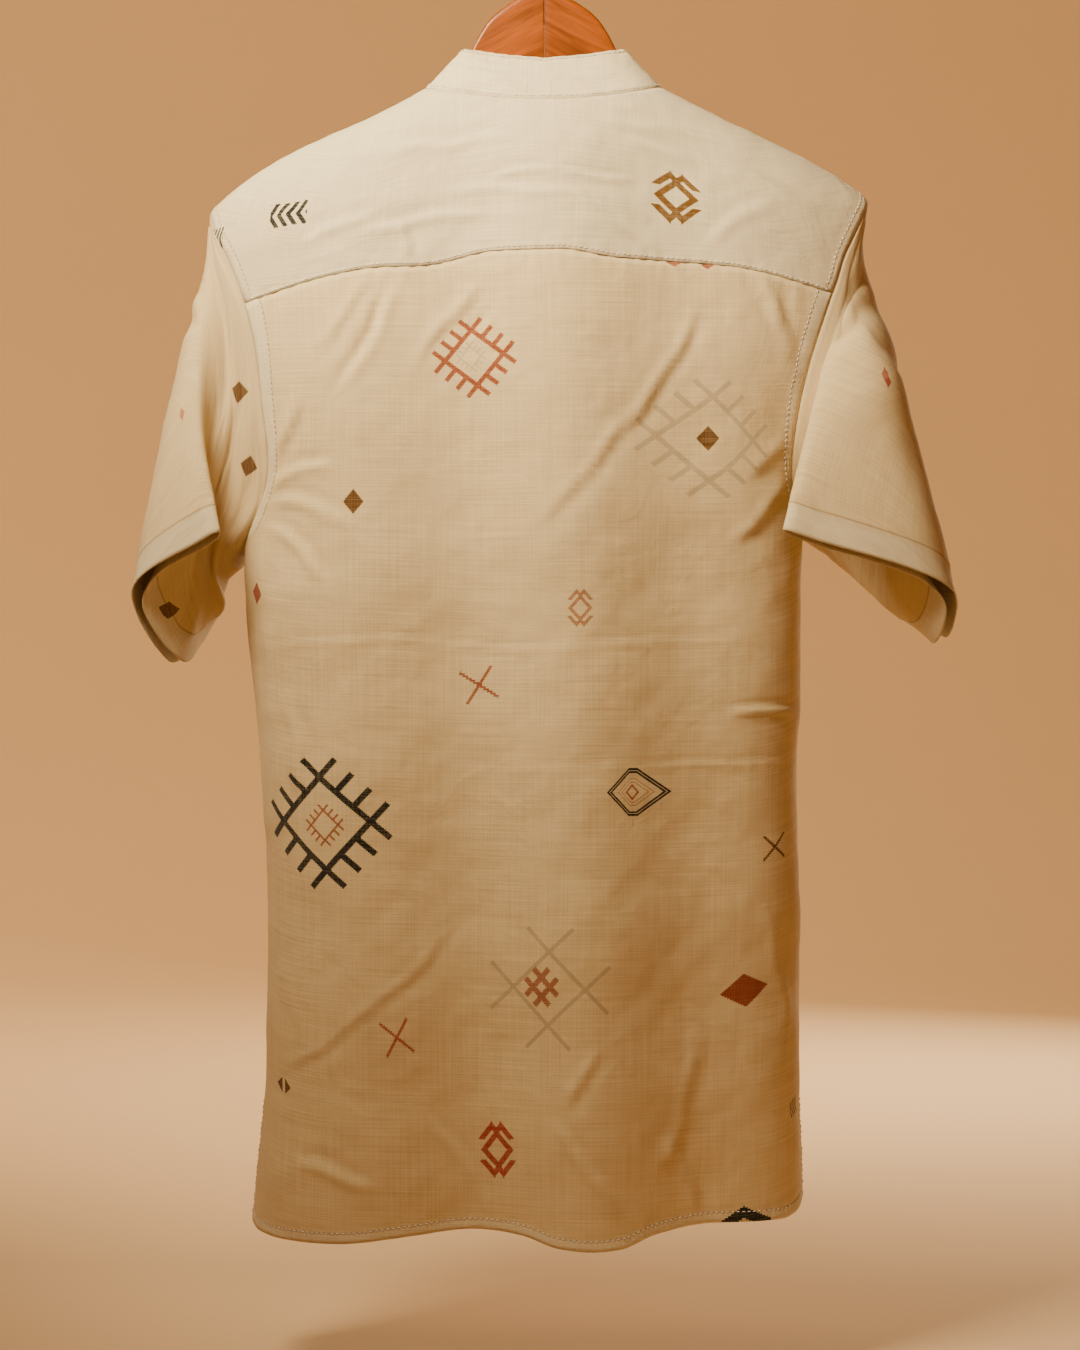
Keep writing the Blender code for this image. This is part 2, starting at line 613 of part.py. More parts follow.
def build_collar():
    """Collar stand: a band that rises from the neck seam, leans in, and laps at the centre front."""
    lap = np.linspace(math.pi + COLLAR_LAP, math.pi - COLLAR_LAP, 2 * COLLAR_LAP_STEPS + 1)
    turn = np.concatenate([-lap, neck_turns(), lap[::-1]])
    foot, foot_out = neck_point(turn)
    size = np.abs(turn)
    keys = np.radians(column(COLLAR_TOP, COLLAR_COLUMNS, "angle"))
    rows = np.array([row[1:] for row in COLLAR_TOP], float)
    top = through(keys, rows, size)
    top[:, 0] *= np.sign(turn)
    share = np.linspace(0, 1, COLLAR_ROWS + 1)[:, None, None]
    middle = foot + (top - foot) * share
    along = np.gradient(middle, axis=1)
    up = np.broadcast_to(top - foot, middle.shape)
    out = unit(np.cross(along, up))
    out[0] = foot_out
    lift = unit(top - foot) * SEAM_GAP
    lapped = ease((size - COLLAR_LAP_START) / (math.pi - COLLAR_LAP_START))
    shift = -np.sign(turn) * COLLAR_LAP_SHIFT * lapped
    outer = middle + lift * (1 - share) + out * shift[:, None]
    return add_wall("collar_stand", outer, outer - out * BAND)


def build_placket(name, lift, half_width, foot):
    """One band of the half placket, following the front panel's surface from the neck seam down."""
    x = np.linspace(-half_width, half_width, 5)
    top = NECK_Z - NECK_DIP_FRONT * np.abs(np.cos(np.arcsin(x / NECK_HALF))) ** NECK_DIP_FRONT_POWER
    share = np.linspace(0, 1, PLACKET_ROWS + 1)[:, None]
    z = (top - SEAM_GAP) * (1 - share) + foot * share
    return body_wall(name, angle_at(np.broadcast_to(x, z.shape), z, FRONT), z, lift=lift)


def sleeve_ring(side, half, turns):
    """Points of one layer of a sleeve at the armhole and at the three keyed places: (4, n, 3)."""
    names = SLEEVE_COLUMNS
    share = (1 - np.cos(turns)) / 2
    back, front = (body(*armhole(side, h, turns)) for h in (BACK, FRONT))
    paths = [through(SLEEVE_KEYS[side], np.array(row[3:]), share) for row in SLEEVES[side]]
    middles = np.array([(back + front) / 2] + paths)
    along = np.concatenate([[0.0], column([row[:2] for row in SLEEVES[side]], names, "along")])
    down_path = np.gradient(middles, share, axis=1)
    down_sleeve = np.gradient(middles, along, axis=0)
    out = unit(np.cross(down_path, down_sleeve)) * side * -1
    rings = [back if half == BACK else front]
    for place, row in enumerate(SLEEVES[side], start=1):
        gap, wedge = row[names.index("half_gap")], row[names.index("wedge")]
        length = np.linalg.norm(np.diff(middles[place], axis=0), axis=1).sum()
        from_crease = np.clip(share * length / wedge, 0, 1)
        from_underarm = np.clip((1 - share) * length / max(gap, 0.004), 0, 1)
        height = gap * (1 - (1 - from_crease) ** 2) ** WEDGE_POWER * np.sqrt(1 - (1 - from_underarm) ** 2)
        rings.append(middles[place] + half * out[place] * height[:, None])
    return np.array(rings), along


def sleeve_layer(side, half, turns, places):
    """One layer of a sleeve: a smooth surface through its rings that swells a little below the shoulder."""
    rings, along = sleeve_ring(side, half, turns)
    layer = through(along, rings, places)
    share = (1 - np.cos(turns)) / 2
    down = np.sin(math.pi * np.clip(places / SWELL_ALONG, 0, 1))[:, None]
    layer[..., 0] += side * SLEEVE_SWELL[side] * down * np.sin(math.pi * np.clip(share / SWELL_ROUND, 0, 1))
    return layer


def build_sleeve(name, side):
    """Sleeve: a flattened tube from the armhole seam to its hem, folded as it hangs."""
    places = np.linspace(0, 1, SLEEVE_ROWS + 1)
    layers, outs, starts = [], [], []
    for half in (BACK, FRONT):
        turns = armhole_turns(side, half)
        layer = sleeve_layer(side, half, turns, places)
        out = body_out(*armhole(side, half, turns))
        cut = slice(None) if half == BACK else slice(-2, 0, -1)
        layers.append(layer[:, cut])
        outs.append(out[cut])
        low = ease((turns - ARMPIT_TURN) / ARMPIT_SPAN)
        start = SLEEVE_START + (SLEEVE_START_ARMPIT - SLEEVE_START) * low
        starts.append(start[cut])
    outer = np.concatenate(layers, axis=1)
    seam_out, start = np.concatenate(outs), np.concatenate(starts)[:, None]
    around = np.roll(outer, -1, axis=1) - np.roll(outer, 1, axis=1)
    down = np.gradient(outer, axis=0)
    out = unit(np.cross(down, around)) * side
    near_armpit = (start - SLEEVE_START) / (SLEEVE_START_ARMPIT - SLEEVE_START)
    fade = 1 - ease(places[1:] / ARMPIT_LIFT_END)
    outer[1:] += seam_out * ARMPIT_LIFT * near_armpit * fade[:, None, None]
    first = outer[1] - outer[0]
    outer[0] += unit(first) * np.minimum(start, 0.6 * np.linalg.norm(first, axis=1, keepdims=True))
    out[0] = seam_out
    return add_wall(name, outer, outer - out * CLOTH, wrap=True)


def build_button(name, place, facing):
    """Round button: a turned profile with a raised rim, its axis along the cloth's outward direction."""
    profile = (
        (0.0, 0.0016),
        (0.0032, 0.0016),
        (0.0040, BUTTON_THICK),
        (0.0050, BUTTON_THICK),
        (BUTTON_RADIUS, 0.0016),
        (0.0048, 0.0),
        (0.0, 0.0),
    )
    sides = 14
    turn = np.linspace(0, 2 * math.pi, sides, endpoint=False)
    facing = unit(facing)
    across = unit(np.cross(facing, (0, 0, 1)))
    other = np.cross(facing, across)
    ring = np.cos(turn)[:, None] * across + np.sin(turn)[:, None] * other
    rings = np.array([place + facing * height + radius * ring for radius, height in profile[1:-1]])
    vertices = np.concatenate([rings.reshape(-1, 3), [place + facing * profile[0][1], place]])
    faces = grid_triangles(rings, wrap=True).tolist()
    top, foot, last = len(vertices) - 2, len(vertices) - 1, (len(rings) - 1) * sides
    for k in range(sides):
        after = (k + 1) % sides
        faces.append((top, k, after))
        faces.append((foot, last + after, last + k))
    return add_mesh(name, vertices, faces, SHELL)


def build_buttons():
    """Four buttons down the placket and one on the collar's lap."""
    for number, z in enumerate(BUTTON_HEIGHTS, start=1):
        turn = angle_at(0.0, z, FRONT)
        out = body_out(turn, z)
        build_button(f"button_{number}", body(turn, z) + out * (CLOTH + 2 * SEAM_GAP), out)
    foot, _ = neck_point(np.array([-math.pi]))
    top = np.array(COLLAR_TOP[6][1:])
    out = unit(np.cross((-1.0, 0.0, 0.0), top - foot[0]))
    place = (foot[0] + top) / 2 + out * (COLLAR_LAP_SHIFT + SEAM_GAP)
    build_button("button_collar", place, out)


def build_hanger_half(name, side):
    """Half of the hanger: rounded upright sections from the middle joint out to the shoulder end."""
    end = HANGER[-1][0]
    share = np.linspace(0, 1, HANGER_STATIONS + 1) ** HANGER_CROWDING
    x = np.concatenate([end * share, [end + 0.0025, end + 0.0035]])
    shrink = np.concatenate([np.ones(HANGER_STATIONS + 1), [0.72, 0.30]])
    keys = column(HANGER, HANGER_COLUMNS, "x")
    top = smooth(keys, column(HANGER, HANGER_COLUMNS, "top"), np.minimum(x, end))
    bottom = smooth(keys, column(HANGER, HANGER_COLUMNS, "bottom"), np.minimum(x, end))
    middle, reach = (top + bottom) / 2, (top - bottom) / 2 * shrink
    turn = np.linspace(0, 2 * math.pi, HANGER_ROUND, endpoint=False) + math.pi / HANGER_ROUND
    edge = np.minimum(reach, HANGER_HALF_THICK)[:, None]
    lift = np.sin(turn)
    y = HANGER_HALF_THICK * shrink[:, None] * np.sign(np.cos(turn)) * np.abs(np.cos(turn)) ** 0.45
    z = middle[:, None] + np.sign(lift) * (reach[:, None] - edge + edge * np.abs(lift) ** 0.8)
    rings = np.stack([np.broadcast_to(side * (x[:, None] + JOINT_HALF_GAP), y.shape), y, z], axis=-1)
    faces = grid_triangles(rings, wrap=True).tolist()
    last = (len(x) - 1) * HANGER_ROUND
    for ring in (0, last):
        for k in range(1, HANGER_ROUND - 1):
            fan = (ring, ring + k, ring + k + 1)
            faces.append(fan if ring else fan[::-1])
    wood = add_mesh(name, rings.reshape(-1, 3), faces, WOOD)
    bore = wood.modifiers.new("Shank bore", "BOOLEAN")
    bore.operation = "DIFFERENCE"
    bore.object = bpy.data.objects["Shank bore"]
    return wood


def build_bore():
    """Cutter for the bore that takes the hook's shank, half in each wooden half."""
    middle = (0, 0, SHANK_FOOT - BORE_DEPTH + BORE_LENGTH / 2)
    bpy.ops.mesh.primitive_cylinder_add(
        vertices=12, radius=WIRE_RADIUS + SEAM_GAP, depth=BORE_LENGTH, location=middle
    )
    cutter = bpy.context.object
    cutter.name = "Shank bore"
    cutter.hide_render = True
    cutter.display_type = "WIRE"
    for collection in cutter.users_collection:
        collection.objects.unlink(cutter)
    bpy.data.collections["Cutters"].objects.link(cutter)


def build_hook():
    """Wire hook: a straight shank that bends into an open ring, whose inside top is the origin."""
    ring = HOOK_INNER + WIRE_RADIUS
    turn = np.radians(np.arange(-48, 206, 11))
    arc = np.stack([ring * np.cos(turn), np.zeros(len(turn)), ring * np.sin(turn) - HOOK_INNER], axis=1)
    straight = [(0, 0, z) for z in np.linspace(SHANK_FOOT, SHANK_HEAD, 6)]
    shank = np.array(straight + [(0.0022, 0, -0.0470), (0.0075, 0, -0.0395)])
    knots = np.concatenate([shank, arc])
    length = np.concatenate([[0], np.cumsum(np.linalg.norm(np.diff(knots, axis=0), axis=1))])
    points = through(length, knots, np.linspace(0, length[-1], 44))
    curve = bpy.data.curves.new("hook", "CURVE")
    curve.dimensions = "3D"
    curve.bevel_depth = WIRE_RADIUS
    curve.bevel_resolution = 2
    curve.use_fill_caps = True
    line = curve.splines.new("POLY")
    line.points.add(len(points) - 1)
    for knot, place in zip(line.points, points):
        knot.co = (*place, 1)
    curve.materials.append(material_of("hook", STEEL))
    thing = bpy.data.objects.new("hook", curve)
    bpy.data.collections["Kurta tunic"].objects.link(thing)


def main():
    for thing in list(bpy.data.objects):
        bpy.data.objects.remove(thing, do_unlink=True)
    for name in ("Kurta tunic", "Cutters"):
        bpy.context.scene.collection.children.link(bpy.data.collections.new(name))
    back, front = back_grid(), front_grid()
    body_wall("back_panel", *back)
    build_front(*front)
    build_yoke(back, front)
    build_collar()
    build_placket("placket_over", CLOTH + SEAM_GAP, PLACKET_HALF, PLACKET_FOOT)
    build_placket("placket_under", -CLOTH - 4 * SEAM_GAP, PLACKET_HALF - 0.001, PLACKET_FOOT + 0.004)
    build_sleeve("sleeve_left", LEFT)
    build_sleeve("sleeve_right", RIGHT)
    build_buttons()
    build_bore()
    build_hanger_half("hanger_left", LEFT)
    build_hanger_half("hanger_right", RIGHT)
    build_hook()


main()
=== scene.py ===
"""Looks for a short sleeved kurta tunic hanging on a flat wooden hanger.

Metres, +Z up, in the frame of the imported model: the back faces -Y, the wearer's right side is at +X.

Every sewn piece is a thin cloth shell on the solid's own surface, body(angle, z), with creases laid on it
from short tables. Stitches, buttons, hanger and hook are surfaces of their own.
"""

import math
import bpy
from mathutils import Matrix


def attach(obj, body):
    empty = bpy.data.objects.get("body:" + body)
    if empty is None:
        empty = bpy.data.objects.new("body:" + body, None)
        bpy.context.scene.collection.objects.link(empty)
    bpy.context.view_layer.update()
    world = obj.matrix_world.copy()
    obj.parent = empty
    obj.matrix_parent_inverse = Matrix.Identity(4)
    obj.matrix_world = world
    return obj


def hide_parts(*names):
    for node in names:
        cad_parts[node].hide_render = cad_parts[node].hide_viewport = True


bl_info = {
    "name": "Kurta tunic on a hanger",
    "version": (1, 0, 0),
    "blender": (4, 5, 0),
    "location": "3D View > Sidebar > Tunic",
    "description": "Dresses the packed model of a kurta tunic: cloth, print, sewing, hanger and stage",
    "category": "Object",
}

import bpy
import numpy as np
from bpy.props import FloatProperty, FloatVectorProperty, PointerProperty

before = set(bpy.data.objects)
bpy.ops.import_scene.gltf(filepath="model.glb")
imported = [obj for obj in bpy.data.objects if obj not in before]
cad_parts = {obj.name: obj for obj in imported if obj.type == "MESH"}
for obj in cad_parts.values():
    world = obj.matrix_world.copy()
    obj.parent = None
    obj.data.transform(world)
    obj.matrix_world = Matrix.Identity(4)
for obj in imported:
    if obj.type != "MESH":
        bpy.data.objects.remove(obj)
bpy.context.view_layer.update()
BODY = "root"

# Driving dimensions.
CLOTH = 0.0015
SEAM_GAP = 0.0003
BACK, FRONT = -1, 1
LEFT, RIGHT = -1, 1

# Body sections: the reach to the left, right, back and front at each height, and how square the section is.
SECTION_COLUMNS = ("z", "left", "right", "back", "front", "power")
SECTIONS = (
    (-0.1200, -0.0640, 0.0630, 0.0275, 0.0160, 2.10),
    (-0.1300, -0.0830, 0.0825, 0.0315, 0.0210, 2.10),
    (-0.1411, -0.1030, 0.1040, 0.0352, 0.0265, 2.10),
    (-0.1516, -0.1246, 0.1250, 0.0385, 0.0320, 2.10),
    (-0.1621, -0.1484, 0.1477, 0.0412, 0.0375, 2.10),
    (-0.1831, -0.1908, 0.1900, 0.0452, 0.0475, 2.10),
    (-0.2041, -0.2200, 0.2220, 0.0485, 0.0535, 2.10),
    (-0.2180, -0.2335, 0.2350, 0.0507, 0.0565, 2.12),
    (-0.2440, -0.2465, 0.2423, 0.0535, 0.0590, 2.15),
    (-0.2640, -0.2472, 0.2428, 0.0555, 0.0610, 2.20),
    (-0.2847, -0.2447, 0.2383, 0.0570, 0.0625, 2.26),
    (-0.3512, -0.2246, 0.2066, 0.0620, 0.0655, 2.40),
    (-0.4128, -0.2075, 0.1850, 0.0660, 0.0680, 2.50),
    (-0.4505, -0.2096, 0.1804, 0.0680, 0.0695, 2.55),
    (-0.5016, -0.2072, 0.1792, 0.0715, 0.0700, 2.60),
    (-0.5576, -0.2016, 0.1790, 0.0745, 0.0700, 2.65),
    (-0.6000, -0.1974, 0.1765, 0.0765, 0.0700, 2.70),
    (-0.6626, -0.1939, 0.1772, 0.0785, 0.0700, 2.70),
    (-0.7326, -0.1925, 0.1785, 0.0795, 0.0700, 2.70),
    (-0.8026, -0.1932, 0.1780, 0.0800, 0.0700, 2.70),
    (-0.8446, -0.1960, 0.1785, 0.0800, 0.0700, 2.70),
    (-0.8796, -0.1995, 0.1799, 0.0800, 0.0700, 2.70),
    (-0.9400, -0.2050, 0.1802, 0.0800, 0.0700, 2.70),
)

# Lengthwise folds: where each runs at the top and at the hem, its half width, and how far it stands out.
# Columns: x_top, x_hem, width, height_top, height_hem.
BACK_FOLDS = (
    (-0.1500, -0.1450, 0.046, 0.0020, 0.0110),
    (-0.0620, -0.0480, 0.040, -0.0040, -0.0130),
    (0.0080, 0.0380, 0.044, 0.0035, 0.0150),
    (0.0900, 0.1120, 0.040, -0.0040, -0.0110),
)
FRONT_FOLDS = (
    (-0.1150, -0.1250, 0.045, 0.0030, 0.0120),
    (-0.0550, -0.0650, 0.034, -0.0030, -0.0090),
    (0.0600, 0.0500, 0.036, -0.0030, -0.0100),
    (0.1200, 0.1150, 0.042, 0.0030, 0.0120),
)
FOLD_TOP, FOLD_HEM, FOLD_START = -0.150, -0.920, 0.06

# Neck seam: half width, height on the shoulder, and how far it dips behind and in front.
NECK_HALF = 0.0825
NECK_Z = -0.1300
NECK_DIP_BACK, NECK_DIP_BACK_POWER = 0.0140, 1.7
NECK_DIP_FRONT, NECK_DIP_FRONT_POWER = 0.0620, 1.35
YOKE_NECK_CORNER = math.radians(58)

# Armholes: height of the shoulder point and of the armpit, depth behind and in front of the shoulder line.
ARMHOLE_TOP = {LEFT: -0.2180, RIGHT: -0.2069}
ARMHOLE_FOOT = {LEFT: -0.4505, RIGHT: -0.4442}
ARMHOLE_DEPTH = {BACK: 0.038, FRONT: 0.042}
ARMHOLE_POWER_TOP, ARMHOLE_POWER_FOOT = 2.1, 3.0
YOKE_CORNER = {(LEFT, BACK): -0.2839, (RIGHT, BACK): -0.2770, (LEFT, FRONT): -0.2450, (RIGHT, FRONT): -0.2390}
YOKE_STEPS = {BACK: 26, FRONT: 12}
PANEL_STEPS = {BACK: 40, FRONT: 40}

# Back yoke seam, and how far the front yoke seam lies below the shoulder line at the neck and at the armhole.
YOKE_SEAM_COLUMNS = ("x", "z")
YOKE_SEAM = (
    (-0.2060, -0.2839),
    (-0.1469, -0.2669),
    (-0.1092, -0.2612),
    (-0.0860, -0.2606),
    (-0.0314, -0.2504),
    (0.0108, -0.2499),
    (0.0490, -0.2555),
    (0.0852, -0.2572),
    (0.1304, -0.2606),
    (0.1983, -0.2770),
)
YOKE_FRONT_DROP_NECK = 0.0190
FRONT_SEAM_NECK_X, FRONT_SEAM_ARM_X = 0.0740, 0.2220

# Hems and side slits, and the shares of a panel's grid that follow its sides, its top and its hem.
HEM_COLUMNS = ("x", "back", "front")
HEM = (
    (-0.2040, -0.9160, -0.9165),
    (-0.1950, -0.9215, -0.9210),
    (-0.1774, -0.9235, -0.9240),
    (-0.1400, -0.9228, -0.9262),
    (-0.0874, -0.9179, -0.9248),
    (-0.0471, -0.9146, -0.9225),
    (-0.0150, -0.9172, -0.9218),
    (0.0100, -0.9240, -0.9222),
    (0.0306, -0.9255, -0.9215),
    (0.0520, -0.9240, -0.9205),
    (0.0751, -0.9165, -0.9215),
    (0.1150, -0.9118, -0.9240),
    (0.1627, -0.9120, -0.9200),
    (0.1740, -0.9095, -0.9140),
    (0.1800, -0.9039, -0.9060),
)
HEM_CORNER = {LEFT: -0.9160, RIGHT: -0.9039}
SLIT_TOP = -0.8340
SLIT_STITCHED_TO = -0.9150
SLIT_SPREAD = {BACK: 0.0030, FRONT: 0.0040}
EDGE_SHARE, TOP_SHARE, KEEP_X_SHARE, HEM_SHARE_START = 0.22, 0.42, 0.30, 0.45
ROWS_BELOW = 176
COLUMNS_BACK = 176
COLUMNS_SIDE = 46

# Front slot and the half placket that closes it.
SLOT_HALF = 0.0150
SLOT_FOOT = -0.5250
FRONT_INNER_X = tuple(np.linspace(-FRONT_SEAM_NECK_X, FRONT_SEAM_NECK_X, 45))
PLACKET_HALF = 0.0170
PLACKET_FOOT = -0.5380
PLACKET_BOX = (0.004, 0.020)
BUTTON_HEIGHTS = (-0.225, -0.305, -0.385, -0.465)

# Collar stand: its top edge by the angle from centre back, for the right half. The left half mirrors it.
COLLAR_COLUMNS = ("angle", "x", "y", "z")
COLLAR_TOP = (
    (0, 0.0000, -0.0140, -0.1105),
    (35, 0.0300, -0.0120, -0.1075),
    (65, 0.0495, -0.0080, -0.1040),
    (90, 0.0575, 0.0000, -0.1030),
    (115, 0.0570, 0.0210, -0.1130),
    (145, 0.0420, 0.0520, -0.1390),
    (180, 0.0000, 0.0680, -0.1590),
    (200, -0.0240, 0.0640, -0.1540),
)
COLLAR_LAP = math.radians(12)
COLLAR_LAP_SHIFT = 0.0014
COLLAR_LAP_START = math.radians(120)
COLLAR_POINTS = 300

# Sleeves: the middle path between the two layers at three places along the sleeve. It runs from the top
# crease, round the outer bend and the lower tip, to the underarm seam. The gap is half the opening there.
SLEEVE_COLUMNS = ("along", "half_gap", "wedge", "crease", "bend", "tip", "underarm")
SLEEVES = {
    LEFT: (
        (
            0.33, 0.0260, 0.090,
            (-0.2346, -0.0275, -0.2925), (-0.2345, -0.0100, -0.3650),
            (-0.2290, 0.0080, -0.4270), (-0.2200, 0.0140, -0.4680),
        ),
        (
            0.67, 0.0140, 0.060,
            (-0.2350, -0.0500, -0.3692), (-0.2590, -0.0280, -0.4300),
            (-0.2520, 0.0020, -0.4820), (-0.2305, 0.0280, -0.4850),
        ),
        (
            1.00, 0.0045, 0.008,
            (-0.2189, -0.0760, -0.4437), (-0.2790, -0.0440, -0.4870),
            (-0.2549, -0.0100, -0.5310), (-0.2407, 0.0400, -0.5008),
        ),
    ),
    RIGHT: (
        (
            0.33, 0.0190, 0.060,
            (0.2048, -0.0275, -0.2845), (0.2335, -0.0200, -0.4000),
            (0.2250, -0.0040, -0.4400), (0.2085, 0.0020, -0.4636),
        ),
        (
            0.67, 0.0130, 0.040,
            (0.1825, -0.0490, -0.3643), (0.2590, -0.0330, -0.4500),
            (0.2530, -0.0120, -0.4790), (0.2365, 0.0040, -0.4835),
        ),
        (
            1.00, 0.0045, 0.008,
            (0.1619, -0.0660, -0.4418), (0.2790, -0.0440, -0.4940),
            (0.2744, -0.0200, -0.5160), (0.2646, 0.0050, -0.5029),
        ),
    ),
}
WEDGE_POWER = 0.6
SLEEVE_SWELL = {LEFT: 0.0030, RIGHT: 0.0190}
SWELL_ALONG, SWELL_ROUND = 0.30, 0.85
SLEEVE_KEYS = {LEFT: (0.0, 0.40, 0.70, 1.0), RIGHT: (0.0, 0.67, 0.84, 1.0)}
SLEEVE_ROWS = 88
SLEEVE_START = 0.0005
ARMPIT_LIFT = 0.0014
ARMPIT_LIFT_END = 0.35
ARMPIT_TURN, ARMPIT_SPAN = math.radians(110), math.radians(55)

# Hanger: one half's top and bottom outline, its thickness.
HANGER_COLUMNS = ("x", "top", "bottom")
HANGER = (
    (0.0000, -0.0620, -0.1450),
    (0.0120, -0.0641, -0.1452),
    (0.0217, -0.0692, -0.1457),
    (0.0301, -0.0748, -0.1463),
    (0.0378, -0.0817, -0.1472),
    (0.0450, -0.0924, -0.1484),
    (0.0532, -0.1072, -0.1498),
    (0.0680, -0.1208, -0.1533),
    (0.0790, -0.1332, -0.1567),
    (0.0920, -0.1405, -0.1610),
    (0.1060, -0.1478, -0.1665),
    (0.1250, -0.1572, -0.1745),
    (0.1484, -0.1678, -0.1835),
    (0.1715, -0.1784, -0.1940),
    (0.1905, -0.1892, -0.2040),
    (0.2060, -0.1998, -0.2130),
    (0.2140, -0.2075, -0.2165),
)
HANGER_HALF_THICK = 0.0060
JOINT_HALF_GAP = 0.00015
JOINT_GROOVE, JOINT_WIDTH, JOINT_RING = 0.035, 0.0012, 0.0002
HANGER_TIP = 0.0035
WIRE_RADIUS = 0.0019
HOOK_INNER = 0.0180
SHANK_FOOT = -0.0850
SHANK_HEAD = -0.0540

# Cloth shells: thickness, how far creases keep clear of seams, the ripples' heights, and the relief that
# each crease, row of puckers and stitched groove has.
CLOTH_UV = "cloth"
PAST_LINE = "past_line"
# Painted shade: the tint laid along each stitch line for the shadow in its groove.
PAINTED_GROOVE_SHADE = (0.50, 0.38, 0.26)
BLOTCH_TINT = (0.80, 0.70, 0.52)
YARN_DARK, YARN_LIGHT = 0.80, 1.14
SHELL_THICK = 0.0009
COLLAR_THICK = 0.0018
SEAM_QUIET = 0.012
RIPPLE = 0.0011
FINE_RIPPLE = 0.00022
CREASE_END, CREASE_WAVER, CREASE_WAVER_LENGTH = 0.3, 0.3, 0.009
PUCKER, PUCKER_PITCH, PUCKER_DRIFT, PUCKER_WIDTH = 0.00022, 0.0019, 0.0130, 0.0060
GROOVE, GROOVE_WIDTH = 0.0004, 0.0013

# Sewing: how far each row of stitches lies inside its edge, and the stitches themselves.
HEM_BAND = 0.0070
SLIT_BAND = 0.0045
ARMHOLE_BAND = 0.0110
YOKE_BAND = 0.0025
YOKE_ARM_BAND = 0.0070
COLLAR_BAND = 0.0026
PLACKET_BAND = 0.0025
SLEEVE_BAND = 0.0200
COLLAR_TACKS = (-9.5, 3.5)
STITCH_PITCH = 0.0038
STITCH_LENGTH = 0.0026
STITCH_RADIUS = 0.00040
STITCH_STEP = 0.0006

